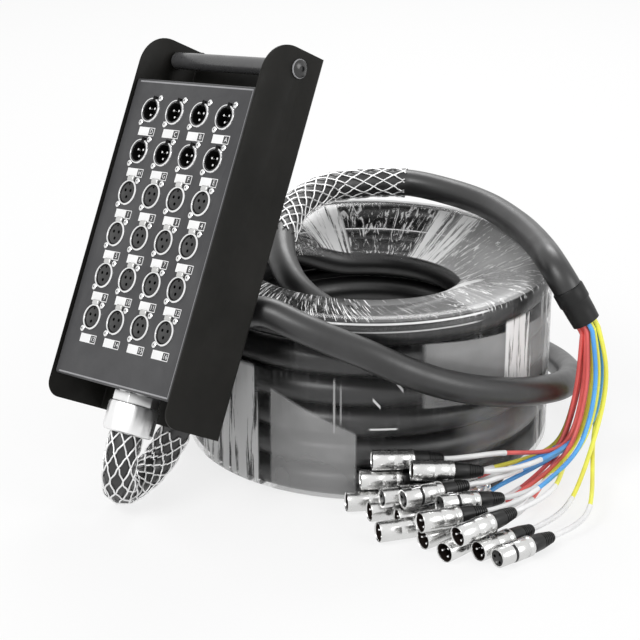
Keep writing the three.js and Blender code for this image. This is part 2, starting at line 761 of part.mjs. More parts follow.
function build_cable() {
  const winding = coil_points();
  console.log(`least gap of the coil to itself ${least_self_gap(winding).toFixed(2)} mm`);
  const start = winding[0];
  const end = winding[winding.length - 1];
  const towards_start = winding[1].clone().sub(start).normalize();
  const out_of_end = end.clone().sub(winding[winding.length - 2]).normalize();
  const mouth = exit_point(cap_end + gland_mouth_depth);
  const below = exit_point(cap_end);
  const box_tail = [mouth, below, ...box_tail_route.map(vector),
    start.clone().addScaledVector(towards_start, -cable_diameter),
    start.clone().addScaledVector(towards_start, -touch_gap)];
  const boot_from = vector(boot_start);
  const boot_to = vector(boot_end);
  const down = boot_to.clone().sub(boot_from).normalize();
  const fan_tail = [end.clone().addScaledVector(out_of_end, touch_gap),
    end.clone().addScaledVector(out_of_end, cable_diameter / 2),
    ...fan_tail_route.map(vector), boot_from.clone().addScaledVector(down, -cable_radius / 3),
    boot_from.clone().addScaledVector(down, -touch_gap)];

  piece('cable_coil', sectioned_tube(winding, cable_radius, coil_sides), cable_jacket);
  const tail_a = solid_of(tube(box_tail, cable_radius, 8, 70));
  const tail_b = solid_of(tube(fan_tail, cable_radius, 8, 60));
  piece('cable_box_tail', tail_a, cable_jacket);
  piece('cable_fan_tail', tail_b, cable_jacket);
  const near_coil = [...box_tail.slice(-5), start.clone().addScaledVector(towards_start, 2 * cable_diameter)];
  piece('film_wrap', film_shell([solid_of(tube(near_coil, film_tear_radius, 8, 30))]), film);

  const boot_length = boot_to.distanceTo(boot_from);
  const boot = turned([[0, 0], [boot_radius, 0], [boot_radius, boot_length * 0.6],
    [boot_end_radius, boot_length], [0, boot_length]], 12);
  boot.applyQuaternion(new THREE.Quaternion().setFromUnitVectors(new THREE.Vector3(0, 0, 1), down));
  piece('breakout_boot', boot.translate(...boot_from.toArray()), shrink);
}

// Plugs: their axis runs along +X from the front face to the end of the boot
function plug_body(kind) {
  const length = plug_shell_length + plug_boot_length;
  const cup = kind === 'male' ? plug_cup_depth : plug_insert_recess;
  const cup_radius = plug_radius - plug_lip;
  const body = solid_of(turned([
    [0, cup], [cup_radius, cup], [cup_radius, 0], [plug_radius, 0],
    [plug_radius, plug_shell_length], [plug_boot_radius, plug_shell_length],
    [plug_boot_radius, plug_shell_length + plug_boot_length * 0.4],
    [plug_tail_radius, length], [0, length]], plug_sides));
  const contacts = kind === 'male'
    ? join(body, contact_rods(contact_radius, cup - plug_pin_length, cup + overrun))
    : cut(body, contact_rods(contact_radius, cup - overrun, cup + contact_depth), latch_pocket());
  return geometry_of(contacts).rotateY(Math.PI / 2);
}

function latch_block(grow, top) {
  const height = latch_height + grow;
  return block(height, latch_width + 2 * grow, latch_length + 2 * grow,
    height / 2 - top, 0, latch_setback + latch_length / 2);
}

function latch_pocket() {
  const deep = latch_travel + turning_gap;
  return join(
    solid_of(latch_block(turning_gap, plug_radius + latch_proud + overrun)),
    solid_of(latch_block(turning_gap, plug_radius + latch_proud - deep)));
}

function build_plugs() {
  const diameter = 2 * plug_radius;
  const latch = geometry_of(solid_of(latch_block(0, plug_radius + latch_proud)));
  for (const plug of plug_place_shares) {
    const stand = new THREE.Group();
    stand.position.set(...plug.at.map((share) => share * diameter));
    stand.rotation.set(0, THREE.MathUtils.degToRad(plug.dip), THREE.MathUtils.degToRad(plug.heading), 'ZYX');
    object.add(stand);
    piece(`${plug.name}_${plug.kind}`, plug_body(plug.kind), nickel, stand);
    if (plug.kind === 'female') {
      piece(`${plug.name}_latch`, latch.clone().rotateY(Math.PI / 2), chrome, stand);
    }
  }
}

// A closed loft through rings of points, with an end face at each end unless it meets itself
function loft(rings, has_ends = true) {
  const sides = rings[0].length;
  const position = rings.flat().flatMap((point) => point.toArray());
  const index = [];
  for (let i = 0; i + 1 < rings.length; i += 1) {
    for (let k = 0; k < sides; k += 1) {
      const a = i * sides + k;
      const b = i * sides + (k + 1) % sides;
      index.push(a, b, b + sides, a, b + sides, a + sides);
    }
  }
  const last = (rings.length - 1) * sides;
  for (let k = 1; has_ends && k + 1 < sides; k += 1) {
    index.push(0, k + 1, k);
    index.push(last, last + k, last + k + 1);
  }
  const geometry = new THREE.BufferGeometry();
  geometry.setAttribute('position', new THREE.Float32BufferAttribute(position, 3));
  geometry.setIndex(index);
  return geometry;
}

// Leads: one bundle of jackets from the boot, parting on the floor to their plugs
function lead_bundle(start, down) {
  const stations = [start, start.clone().addScaledVector(down, lead_diameter), ...lead_way.map(vector)];
  const radii = [boot_end_radius, boot_end_radius, ...lead_spread];
  const side = new THREE.Vector3(0, 1, 0).cross(down).normalize();
  const rings = stations.map((station, i) => {
    const before = stations[Math.max(0, i - 1)];
    const after = stations[Math.min(stations.length - 1, i + 1)];
    const along = i < 2 ? down : after.clone().sub(before).normalize();
    const across = side.clone().sub(along.clone().multiplyScalar(side.dot(along))).normalize();
    const beside = along.clone().cross(across);
    const ring = [];
    for (let k = 0; k < bundle_sides; k += 1) {
      const angle = k / bundle_sides * 2 * Math.PI;
      const point = station.clone().addScaledVector(across, radii[i] * Math.cos(angle))
        .addScaledVector(beside, radii[i] * Math.sin(angle));
      point.z = Math.max(point.z, lead_diameter / 2);
      ring.push(point);
    }
    return ring;
  });
  return solid_of(loft(rings));
}

function build_leads() {
  const boot_from = vector(boot_start);
  const boot_to = vector(boot_end);
  const down = boot_to.clone().sub(boot_from).normalize();
  const bundle = lead_bundle(boot_to.clone().addScaledVector(down, touch_gap), down);
  const [gather, floor] = lead_way.slice(-2).map(vector);
  const leads = plug_place_shares.map((plug, i) => {
    const angle = i * lead_turn;
    const share = Math.sqrt((i + 0.5) / plug_place_shares.length);
    const spread = lead_spread[lead_spread.length - 1] - lead_diameter;
    const offset = new THREE.Vector3(0, Math.cos(angle), Math.sin(angle) / 2).multiplyScalar(spread * share);
    const heading = THREE.MathUtils.degToRad(plug.heading);
    const dip = THREE.MathUtils.degToRad(plug.dip);
    const axis = new THREE.Vector3(Math.cos(heading) * Math.cos(dip), Math.sin(heading) * Math.cos(dip), -Math.sin(dip));
    const tail = vector(plug.at).multiplyScalar(2 * plug_radius)
      .addScaledVector(axis, plug_shell_length + plug_boot_length + touch_gap);
    const detour = lead_detours[plug.name]?.map(vector) ?? [];
    const behind = tail.clone().addScaledVector(axis, lead_diameter);
    const points = [gather.clone().lerp(floor, 0.5), floor.clone().add(offset), ...detour, behind, tail];
    for (const point of points) point.z = Math.max(point.z, lead_diameter / 2);
    return solid_of(tube(points, lead_diameter / 2, lead_sides, lead_steps));
  });
  piece('fan_leads', main_body(join(bundle, ...leads)), lead_jacket);
}

build_box();
build_cable();
build_plugs();
build_leads();

// Set the part on its origin: under the middle of what stands without the free cable
const cord_names = ['cable_coil', 'cable_box_tail', 'cable_fan_tail', 'breakout_boot', 'fan_leads', 'plug_'];
object.updateMatrixWorld(true);
const firm = new THREE.Box3();
object.traverse((child) => {
  if (child.isMesh && !cord_names.some((name) => child.name.startsWith(name))) firm.expandByObject(child, true);
});
const middle = firm.getCenter(new THREE.Vector3());
object.position.set(-middle.x, -middle.y, 0);
const group = object;

export default group;
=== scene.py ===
# %% [markdown]
# # A stage box snake
# A stage box snake carries many microphone lines over one thick cable. This one has three
# parts that a reader can find in the render: a folded metal box with a grid of panel
# connectors, a long multicore cable wound in a coil under clear film, and a fan of thin
# leads with a plug on each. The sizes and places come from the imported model, so the first
# step loads it and finds the middle of the coil, from which the route of the cable is told.

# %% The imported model
import math

import bmesh
import bpy
from mathutils import Matrix, Vector, noise


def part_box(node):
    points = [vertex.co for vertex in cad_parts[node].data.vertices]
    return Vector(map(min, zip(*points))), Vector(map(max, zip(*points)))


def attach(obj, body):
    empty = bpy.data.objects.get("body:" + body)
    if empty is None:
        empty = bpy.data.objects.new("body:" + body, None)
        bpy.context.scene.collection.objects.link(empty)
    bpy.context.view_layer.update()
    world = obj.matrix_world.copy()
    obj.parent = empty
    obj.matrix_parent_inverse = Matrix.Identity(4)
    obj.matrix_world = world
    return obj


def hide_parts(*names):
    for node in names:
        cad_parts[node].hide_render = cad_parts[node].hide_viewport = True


bpy.ops.wm.read_factory_settings(use_empty=True)
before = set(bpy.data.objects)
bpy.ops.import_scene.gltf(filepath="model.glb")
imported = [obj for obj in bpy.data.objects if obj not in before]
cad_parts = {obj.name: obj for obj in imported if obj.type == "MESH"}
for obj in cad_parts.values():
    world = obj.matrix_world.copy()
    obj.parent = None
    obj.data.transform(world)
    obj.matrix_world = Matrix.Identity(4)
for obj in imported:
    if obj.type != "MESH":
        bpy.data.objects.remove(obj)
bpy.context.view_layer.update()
MM = 0.001
film_low, film_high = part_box("film_wrap")
coil_centre = Vector(((film_low.x + film_high.x) / 2, (film_low.y + film_high.y) / 2, 0))


def spot(x, y, z):
    """A point given in millimetres from the floor under the coil's centre."""
    return coil_centre + Vector((x, y, z)) * MM


print("coil centre", [round(v, 4) for v in coil_centre], "nodes", len(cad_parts))

# %% [markdown]
# ## Camera
# A product photograph like this is taken with a long lens from a little above. The lens
# and height were fitted to the box's corners and to the round rim of the coil.

# %% Camera
SENSOR, FOCAL_PIXELS, PICTURE_PIXELS = 36, 1900, 640
LOOKS_DOWN = 21.546


def placed(name, data):
    """An object of this data, in the scene."""
    made = bpy.data.objects.new(name, data)
    bpy.context.collection.objects.link(made)
    return made


camera = placed("camera", bpy.data.cameras.new("camera"))
camera.data.sensor_width = SENSOR
camera.data.lens = FOCAL_PIXELS / PICTURE_PIXELS * SENSOR
camera.data.clip_end = 20
camera.location = spot(-47.44, -1767.39, 809.42)
camera.rotation_euler = (math.radians(90 - LOOKS_DOWN), 0, 0)
bpy.context.scene.camera = camera
bpy.context.scene.view_settings.view_transform = "Standard"
print("lens", round(camera.data.lens), "mm,", round((camera.location - coil_centre).length, 2), "m away")

# %% [markdown]
# ## The box's own axes
# The box leans back on the coil, so nothing on it is level. One matrix turns plain face
# coordinates into places in the scene: x runs across the face, y up it and z out of it,
# all from the middle of the connector grid.

# %% Box axes
BOX = (
    Matrix.Translation(spot(-193.2, -145, 266.5))
    @ Matrix.Rotation(math.radians(-50), 4, "Z")
    @ Matrix.Rotation(math.radians(61.6), 4, "X")
    @ Matrix.Rotation(math.radians(8.6), 4, "Z")
    @ Matrix.Scale(MM, 4)
)
face_normal = BOX.to_3x3().col[2].normalized()
print("middle of the grid", [round(v, 3) for v in BOX.translation])
print("it faces", [round(v, 2) for v in face_normal])

# %% [markdown]
# ## Node helpers
# Every finish is a small tree of shader nodes. Colours are written as sRGB hex, as they
# look on a screen, and turned to the linear values that the shader counts with. Patterns
# are given by their real size in millimetres. One helper adds a node with its settings
# and links, and one builds what most finishes share: a drift of tone, a drift of gloss
# and a fine relief. So each finish reads as a short recipe.


# %% Node helpers
def linear(shade):
    """Linear red, green and blue of a colour written as sRGB hex."""
    shares = [int(shade[i : i + 2], 16) / 255 for i in (1, 3, 5)]
    return tuple(v / 12.92 if v <= 0.04045 else ((v + 0.055) / 1.055) ** 2.4 for v in shares)


def per_metre(size):
    """How often a pattern of this size in millimetres repeats in a metre."""
    return 1 / (size * MM)


all_finishes = []


def new_finish(name, shade, roughness, metallic=0.0, specular=0.5):
    """A material with its Principled shader, ready for more nodes."""
    finish = bpy.data.materials.new(name)
    finish.use_nodes = True
    shader = finish.node_tree.nodes["Principled BSDF"]
    shader.inputs["Base Color"].default_value = (*linear(shade), 1)
    shader.inputs["Roughness"].default_value = roughness
    shader.inputs["Metallic"].default_value = metallic
    shader.inputs["Specular IOR Level"].default_value = specular
    finish.diffuse_color = (*linear(shade), 1)
    all_finishes.append(finish)
    return finish, shader


def add_node(owner, kind, *values, out=0, stops=(), to=None, **named):
    """Adds a node, links its output called out to the input given as to, and returns it.

    The values fill its inputs in order. A capitalised name is one more input, and any
    other name is a setting. Stops are the places of a colour ramp with a grey or a shade.
    """
    tree = owner.node_tree
    made = tree.nodes.new("ShaderNode" + kind)
    given = dict(enumerate(values))
    for key, value in named.items():
        if key[0].isupper():
            given[key] = value
        else:
            setattr(made, key, value)
    for key, value in given.items():
        if isinstance(value, bpy.types.NodeSocket):
            tree.links.new(value, made.inputs[key])
        else:
            made.inputs[key].default_value = value
    for i, (place, tone) in enumerate(stops):
        element = made.color_ramp.elements[i] if i < 2 else made.color_ramp.elements.new(1)
        element.position = place
        element.color = (*(linear(tone) if isinstance(tone, str) else (tone,) * 3), 1)
    if to is not None:
        tree.links.new(made.outputs[out], to)
    return made.outputs[out]


print("a screen's middle grey is", round(linear("#808080")[0], 3), "of white's light")


# %% Surface with drifting tone and gloss
def surface(name, shade, roughness, metallic, specular, tone, gloss, relief):
    """A finish whose tone and gloss drift, over a fine relief.

    Tone and gloss are a size in millimetres, the stops that the noise runs through, and
    the noise's own settings. Relief is its grain size and depth in millimetres, how
    strongly it shows, and how fine its detail is.
    """
    finish, shader = new_finish(name, shade, roughness, metallic, specular)
    where = add_node(finish, "TexCoord", out="Object")
    for socket, drift in (("Base Color", tone), ("Roughness", gloss)):
        if drift:
            size, stops, settings = drift
            drawn = add_node(finish, "TexNoise", where, Scale=per_metre(size), **settings)
            add_node(finish, "ValToRGB", drawn, stops=stops, to=shader.inputs[socket])
    size, depth, strength, detail = relief
    grain = add_node(finish, "TexNoise", where, Scale=per_metre(size), Detail=detail)
    add_node(finish, "Bump", Height=grain, Distance=depth * MM, Strength=strength,
             to=shader.inputs["Normal"])
    return finish

# %% [markdown]
# ## Powder-coated steel
# The box is folded from sheet steel and powder coated. The powder melts to a skin with a
# fine orange peel, which a small noise gives as bump. Where hands and cases have rubbed
# it, the black turns greyer and a little glossier, and two slow noises give that. Real
# orange peel is about 1 mm wide, which just shows at this distance. The shader's own IOR
# of 1.5 is that of paint, plastic and rubber alike.

# %% Powder-coated steel
PEEL, RUBBED, HANDLED = 1.1, 110, 17


def powder_coat(name, shade, light, roughness, specular=0.5, peel=PEEL):
    tone = RUBBED, [(0.3, shade), (0.75, light)], {"Detail": 6, "Roughness": 0.65}
    gloss = HANDLED, [(0.35, roughness - 0.08), (0.7, roughness + 0.1)], {"Detail": 4}
    return surface(name, shade, roughness, 0.0, specular, tone, gloss, (peel, 0.08, 0.6, 2))


# dark grey, dull and cloudy powder coat, so the bright rings stand out from it
grey_powder = powder_coat("powder_coated_grey", "#424244", "#575758", 0.5, 0.2)
# painted highlight: rounded edges are painted a pale grey, the pale line that an edge shows in the light
grey_edge_highlight = powder_coat("powder_coated_grey_edge_highlight", "#868689", "#aaaaac", 0.4)
# nearly black and matt, with a warm brownish drift
black_powder = powder_coat("powder_coated_black", "#161614", "#272624", 0.42, 0.12)
# painted highlight: its bends and cut edges are painted a thin dark grey line
black_edge_highlight = powder_coat("powder_coated_black_edge_highlight", "#3f3f40", "#616161", 0.35, 0.4)
# sprayed lacquer on the tube has coarser peel and a broad soft highlight
tube_lacquer = powder_coat("lacquered_tube", "#3c3c3d", "#525253", 0.3, 1.0, 2)
# oiled black oxide keeps a small sharp highlight
black_oxide = powder_coat("black_oxide_steel", "#121212", "#212121", 0.22, 0.7, 2)
print([finish.name for finish in all_finishes])

# %% [markdown]
# ## Plated and bare metal
# The rings and screws are chrome plated, the plug shells satin nickel plated, the gland
# is a nickelled brass casting and the socks are galvanised wire. All are a metal shader.
# What tells them apart is their roughness, and a faint uneven polish that keeps the
# highlights from looking printed. The polishing grain is much finer than a millimetre,
# so it is drawn at 0.7 mm, the finest that shows.

# %% Plated and bare metal
TARNISH, POLISH, GRAIN = 40, 8, 0.7


def plated(name, shade, dull, roughness, spread=0.06):
    tone = TARNISH, [(0.35, dull), (0.65, shade)], {"Detail": 2}
    gloss = POLISH, [(0.3, roughness), (0.7, roughness + spread)], {"Detail": 3}
    return surface(name, shade, roughness, 1.0, 0.5, tone, gloss, (GRAIN, 0.01, 0.2, 1))


# chrome mirrors the room and reads as white with black edges
chrome = plated("chrome_plate", "#f7f7f7", "#ececec", 0.16)
# satin nickel is greyer and blurs what it mirrors
satin_nickel = plated("satin_nickel_plate", "#dededd", "#d4d4d3", 0.23)
# a cast surface scatters the light, so the gland looks almost white
nickelled_brass = plated("nickelled_brass", "#f9f9f9", "#eeeeee", 0.34, 0.1)
# zinc on drawn wire is dull, and each wire is a plain pale line
galvanised_wire = plated("galvanised_wire", "#f9f9f9", "#eeeeee", 0.42)
# a pressed tab is darker than the rings beside it
pressed_steel = plated("pressed_steel", "#d4d4d3", "#cbcbc9", 0.3)
print([finish.name for finish in all_finishes[6:]])

# %% [markdown]
# ## Plastics, rubber and ink
# The inserts are moulded nylon, the plug boots a soft moulded rubber, the split boot
# heat-shrink tube, and the leads and cable have PVC jackets. Mould texture and jacket skin
# are finer than a millimetre, and are drawn at 1 to 2.5 mm so that they show. The thick
# jacket is scuffed in cloudy patches, which are greyer and a little glossier.

# %% Plastics, rubber and ink
CLOUD, MOULD_GRAIN, SCUFF, JACKET_SKIN = 33, 1.4, 45, 1.1


def moulded(name, shade, light, roughness, specular=0.5, grain=MOULD_GRAIN):
    tone = CLOUD, [(0.35, shade), (0.7, light)], {"Detail": 4}
    return surface(name, shade, roughness, 0.0, specular, tone, None, (grain, 0.05, 0.5, 3))


def cable_jacket(name, shade, light, roughness):
    patchy = {"Detail": 8, "Roughness": 0.7, "Distortion": 0.6}
    tone = SCUFF, [(0.4, shade), (0.8, light)], patchy
    gloss = SCUFF, [(0.3, roughness + 0.1), (0.75, roughness - 0.06)], patchy
    return surface(name, shade, roughness, 0.0, 0.75, tone, gloss, (JACKET_SKIN, 0.04, 0.35, 2))


# painted shade: nylon deep in a cup is painted nearly black for the shade it lies in, with no sheen
black_nylon_painted_shade = moulded("moulded_black_nylon_painted_shade", "#0a0a0a", "#161616", 0.5, 0.1)
# painted light: the input's insert lies near the front, so its matt face is painted a lighter dark grey than
# the nylon deep in the cups
grey_nylon_painted_light_and_shade = moulded("moulded_grey_nylon_painted_light_and_shade", "#3f3f3f", "#4c4c4c", 0.5, 0.2)
# painted shade: a socket's hole is a flat disc painted black, since a hole gives nothing back at all
hole_painted_shade = moulded("socket_hole_painted_shade", "#030303", "#111111", 0.7, 0.0)
# a plug's insert is brown-black nylon beside its bright shell, and the same brown-black lines the inside of
# the shell as painted shade
brown_nylon_and_painted_shade = moulded("moulded_brown_nylon_and_painted_shade", "#1d1612", "#27201d", 0.5, 0.2)
# soft rubber has a broad dim highlight along its top
boot_rubber = moulded("moulded_rubber", "#161616", "#202020", 0.36, 0.4)
# shrunk tube is matter still, with a coarse skin
shrink_tube = moulded("heat_shrink_tube", "#161616", "#202020", 0.45, 0.3, 2.5)
# matt PVC with some gloss: a pale band on top that fades to black below
pvc_jacket = cable_jacket("matt_pvc_jacket", "#161616", "#2a2a2b", 0.36)
# thick screen ink: white strips to write on, and fields a little darker than the plate
white_ink = moulded("screen_print_white", "#f6f6f6", "#ffffff", 0.5)
grey_ink = moulded("screen_print_grey", "#3f3f40", "#4c4c4d", 0.5, 0.2)
# thin PVC leads in strong clear colours
red_pvc = moulded("red_pvc", "#e56561", "#ff7571", 0.36)
blue_pvc = moulded("blue_pvc", "#55a2eb", "#63baff", 0.36)
yellow_pvc = moulded("yellow_pvc", "#f3eb59", "#ffff68", 0.36)
# white heat-shrink sleeves scatter the light softly
white_sleeve = moulded("white_heat_shrink", "#eaeaea", "#ffffff", 0.4)
print([finish.name for finish in all_finishes[11:]])

# %% [markdown]
# ## Making a piece
# Round pieces are a profile turned with spin. A finished piece keeps its place in its
# mesh, so its object stays at the origin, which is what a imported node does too. Edges
# sharper than a set angle stay crisp, and the rest is shaded smooth.


# %% Piece helpers
def turned(profile, sides=40, closed=False):
    """Turns (radius, height) points about z, in millimetres."""
    bm = bmesh.new()
    verts = [bm.verts.new((r, 0, h)) for r, h in profile]
    edges = [bm.edges.new(pair) for pair in zip(verts, verts[1:])]
    if closed:
        edges.append(bm.edges.new((verts[-1], verts[0])))
    bmesh.ops.spin(bm, geom=verts + edges, cent=(0, 0, 0), axis=(0, 0, 1),
                   angle=2 * math.pi, steps=sides, use_merge=True)
    bmesh.ops.remove_doubles(bm, verts=bm.verts, dist=1e-4)
    bmesh.ops.dissolve_degenerate(bm, edges=bm.edges, dist=1e-5)
    return bm


def sharp_edges(bm, angle):
    """The edges at which two faces meet at more than this angle, in degrees."""
    limit = math.radians(angle)
    return [e for e in bm.edges if len(e.link_faces) == 2 and e.calc_face_angle(0) > limit]


def add_part(bm, part, matrix=Matrix(), index=0):
    """Puts another bmesh into bm, moved by matrix and with one material index."""
    for face in part.faces:
        face.material_index = index
    part.transform(matrix)
    scratch = bpy.data.meshes.new("scratch")
    part.to_mesh(scratch)
    part.free()
    bm.from_mesh(scratch)
    bpy.data.meshes.remove(scratch)
    return bm


# %% Placing a piece
def make_piece(name, bm, matrix, finishes, body="snake", replaces=(), crisp=40,
               tidy=True):
    """Places a bmesh made in millimetres and rides it on a body."""
    if tidy:
        bmesh.ops.recalc_face_normals(bm, faces=bm.faces)
    mesh = bpy.data.meshes.new(name)
    bm.to_mesh(mesh)
    bm.free()
    mesh.transform(matrix)
    for finish in finishes:
        mesh.materials.append(finish)
    mesh.shade_smooth()
    mesh.set_sharp_from_angle(angle=math.radians(crisp))
    piece = placed(name, mesh)
    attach(piece, body)
    if replaces:
        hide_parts(*replaces)
    return piece


def softened(node, width, finishes, body="snake", crisp=40):
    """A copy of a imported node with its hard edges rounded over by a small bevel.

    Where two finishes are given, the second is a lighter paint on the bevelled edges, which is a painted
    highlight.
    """
    bm = bmesh.new()
    bm.from_mesh(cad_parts[node].data)
    bmesh.ops.remove_doubles(bm, verts=bm.verts, dist=1e-6)
    bmesh.ops.dissolve_limit(bm, angle_limit=math.radians(1), verts=bm.verts, edges=bm.edges)
    bmesh.ops.bevel(bm, geom=sharp_edges(bm, 35), offset=width * MM, segments=2, profile=0.5,
                    affect="EDGES", material=len(finishes) - 1 or -1, clamp_overlap=True)
    return make_piece(node + "_soft", bm, Matrix(), finishes, body, (node,), crisp, tidy=False)

# %% [markdown]
# ## A smooth route
# A cable lies on one smooth curve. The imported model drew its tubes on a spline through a
# short list of points, and the same spline is worked out here, so that the dressed cable
# lies exactly where its solid is.


# %% Smooth route
def smooth_route(points, step):
    """Points every step millimetres or so along a centripetal spline through points."""
    ends = [2 * points[0] - points[1], *points, 2 * points[-1] - points[-2]]
    made = []
    for a, b, c, d in zip(ends, ends[1:], ends[2:], ends[3:]):
        t0, t1, t2 = ((q - p).length ** 0.5 for p, q in ((a, b), (b, c), (c, d)))
        out = ((b - a) / t0 - (c - a) / (t0 + t1) + (c - b) / t1) * t1
        into = ((c - b) / t1 - (d - b) / (t1 + t2) + (d - c) / t2) * t1
        count = max(1, round((c - b).length / step))
        for i in range(count):
            t = i / count
            made.append(b + out * t + (3 * (c - b) - 2 * out - into) * t * t
                        + (2 * (b - c) + out + into) * t ** 3)
    return made + [points[-1]]


def length_of(points):
    return sum((b - a).length for a, b in zip(points, points[1:]))


def round_curve(name, lines, radius, finish, rounds, caps=True):
    """Round wires on lines of points in metres, as one curve with a spline for each."""
    curve = bpy.data.curves.new(name, "CURVE")
    curve.dimensions = "3D"
    curve.bevel_depth = radius
    curve.bevel_resolution = rounds
    curve.use_fill_caps = caps
    for line in lines:
        spline = curve.splines.new("POLY")
        spline.points.add(len(line) - 1)
        for target, point in zip(spline.points, line):
            target.co = (*point, 1)
        spline.use_smooth = True
    curve.materials.append(finish)
    made = placed(name, curve)
    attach(made, "snake")
    return made

# %% [markdown]
# ## The cable to the box
# The thick cable leaves the gland under the box, loops on the floor, climbs behind the
# box on which it leans, runs round the front of the coil and goes in under the turns at
# the back. These are the same points as the solid's.

# %% Box tail
CABLE = 28
box_tail_route = [
    (-226.2, -213.3, 69), (-230, -216, 48), (-231, -203, 28), (-226, -181, 17), (-215, -158, 15.5),
    (-201, -141, 24), (-188, -132, 44), (-174, -131, 72), (-160, -136, 102), (-147, -143, 130),
    (-134, -151, 157), (-119, -160, 178), (-98, -171.5, 187.5), (-65.4, -186.8, 178.5),
    (-38.5, -194.1, 169), (-4.5, -197.8, 155.8), (24.4, -196.4, 141.6), (59.4, -188.8, 125.5),
    (89.6, -176.4, 113.5), (128.1, -150.7, 99), (167.3, -105.3, 82), (191, -62, 69),
    (203, -15, 57), (205, 40, 43), (197, 102, 30), (172, 167, 20), (130, 226, 16), (75, 276, 15.2),
    (15, 298, 15.2), (-42, 290, 15.2), (-76, 261, 15.2), (-80, 226, 15.2), (-52, 203, 15.2),
]
gland_mouth = BOX @ Vector((0, -187.6, -33))
gland_end = BOX @ Vector((0, -193.6, -33))

# %% [markdown]
# ## The coil
# The cable is wound outside row by row going up, then a middle layer going down, then an
# inner layer going up. Each turn lies flat and climbs to the next row in one short run,
# which is how a cable behaves on a winding machine. The inner layer stops two rows short,
# and the middle layer's top turn dips into the hollow over it along the far side. One
# function tells where the cable is after so many degrees.

# %% Coil
row_pitch, layer_pitch, coil_rows, inner_rows = 30.3, 31.5, 6, 4
outer_layer = 180.8 - CABLE / 2
layer_radii = [outer_layer - layer * layer_pitch for layer in range(3)]
climb_run, first_row = 175, 15.2


def degrees_of(run, layer):
    return math.degrees(run / layer_radii[layer])


climbs = [degrees_of(climb_run, layer) for layer in range(3)]
changes = [(row * 360, climbs[0], 1, 0) for row in range(1, coil_rows)]
step_in_top = coil_rows * 360 - climbs[0]
changes.append((step_in_top, climbs[0], 0, 1))
changes += [(step_in_top + row * 360 - climbs[1], climbs[1], -1, 0) for row in range(1, coil_rows)]
step_in_low = step_in_top + coil_rows * 360 - 2 * climbs[1]
changes.append((step_in_low, climbs[1], 0, 1))
first_turn = math.ceil((step_in_low + climbs[1] + climbs[2]) / 360)
changes += [((first_turn + row) * 360 - climbs[2], climbs[2], 1, 0) for row in range(inner_rows - 1)]
wind_start = 2 * climbs[0]
wind_end = changes[-1][0] + changes[-1][1] + degrees_of(303 + 14, 2)


def ease(share):
    return (1 - math.cos(math.pi * min(1, max(0, share)))) / 2


def funnel_swing(degrees):
    """How far the top turn has swung into the funnel, from 0 to a quarter turn."""
    start, long, back = coil_rows * 360, degrees_of(177, 1), coil_rows * 360 + degrees_of(378, 1)
    return math.pi / 2 * (ease((degrees - start) / long) - ease((degrees - back) / long))


def wound(degrees):
    row = layer = 0
    for start, long, rows, layers in changes:
        share = ease((degrees - start) / long)
        row += rows * share
        layer += layers * share
    swing = funnel_swing(degrees)
    radius = outer_layer - (layer + math.sin(swing)) * layer_pitch
    angle = math.radians(170 - degrees)
    height = first_row + (row - 1 + math.cos(swing)) * row_pitch
    return spot(radius * math.cos(angle), radius * math.sin(angle), height)


STEPS_IN_TURN = 72
winding = wind_end - wind_start
count = round(winding * STEPS_IN_TURN / 360)
coil_points = [wound(wind_start + winding * i / count) for i in range(count + 1)]
into_coil = (wound(wind_start + 15) - coil_points[0]).normalized()
out_of_coil = (coil_points[-1] - coil_points[-2]).normalized()
coil_points = [coil_points[0] - into_coil * CABLE * MM, *coil_points]
print("coil", round(length_of(coil_points), 2), "m in", round(winding / 360, 2), "turns")

# %% The two ends of the cable
box_tail_points = smooth_route(
    [gland_mouth, gland_end, *(spot(*p) for p in box_tail_route),
     coil_points[0] - into_coil * CABLE * MM, coil_points[0]], 8 * MM)
boot_start, boot_end = spot(184.7, -96.6, 182), spot(203.7, -102.5, 150)
boot_down = (boot_end - boot_start).normalized()
fan_tail_route = [
    (99.8, -28.6, 108.2), (81.8, -63.9, 114.5), (51.9, -89.9, 125), (14.4, -102.8, 138),
    (-19.6, -102, 148.5), (-41.5, -95.2, 158), (-66.8, -79.5, 173), (-82, -45, 187), (-86, 5, 198.5),
    (-80.6, 41, 201.5), (-73, 80.1, 204), (-57.8, 113.7, 205), (-35.9, 144.5, 205),
    (-12.5, 155.1, 205), (17.3, 162.1, 205), (49.1, 161.8, 204), (94.9, 133, 201.5),
    (124.8, 98.7, 200), (150.9, 37.5, 199), (161.6, -4, 199), (168, -45, 200),
    (171.8, -74.4, 199.5), (176.8, -89, 194),
]
fan_tail_points = smooth_route(
    [coil_points[-1], coil_points[-1] + out_of_coil * CABLE / 2 * MM,
     *(spot(*p) for p in fan_tail_route), boot_start - boot_down * CABLE / 6 * MM, boot_start], 8 * MM)

box_tail = round_curve("box_tail", [box_tail_points], CABLE / 2 * MM, pvc_jacket, 6)
coil = round_curve("wound_coil", [coil_points], CABLE / 2 * MM, pvc_jacket, 5)
fan_tail = round_curve("fan_tail", [fan_tail_points], CABLE / 2 * MM, pvc_jacket, 6)
for cable, node in ((box_tail, "cable_box_tail"), (coil, "cable_coil"), (fan_tail, "cable_fan_tail")):
    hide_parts(node)
print("tails", round(length_of(box_tail_points), 2), "and", round(length_of(fan_tail_points), 2), "m")

# %% [markdown]
# ## Wire socks
# A cable grip is a sleeve of galvanised wires that cross as diamonds. Each wire is a
# helix round the cable's line. Half of them turn one way and half the other, and they
# ride a little higher and lower in turn, so that they seem to weave.


# %% Wire socks
def along(points, distance):
    """The point and direction at a distance along points."""
    for i, (a, b) in enumerate(zip(points, points[1:])):
        step = (b - a).length
        if distance <= step or i == len(points) - 2:
            return a.lerp(b, min(1, distance / step)), (b - a).normalized()
        distance -= step


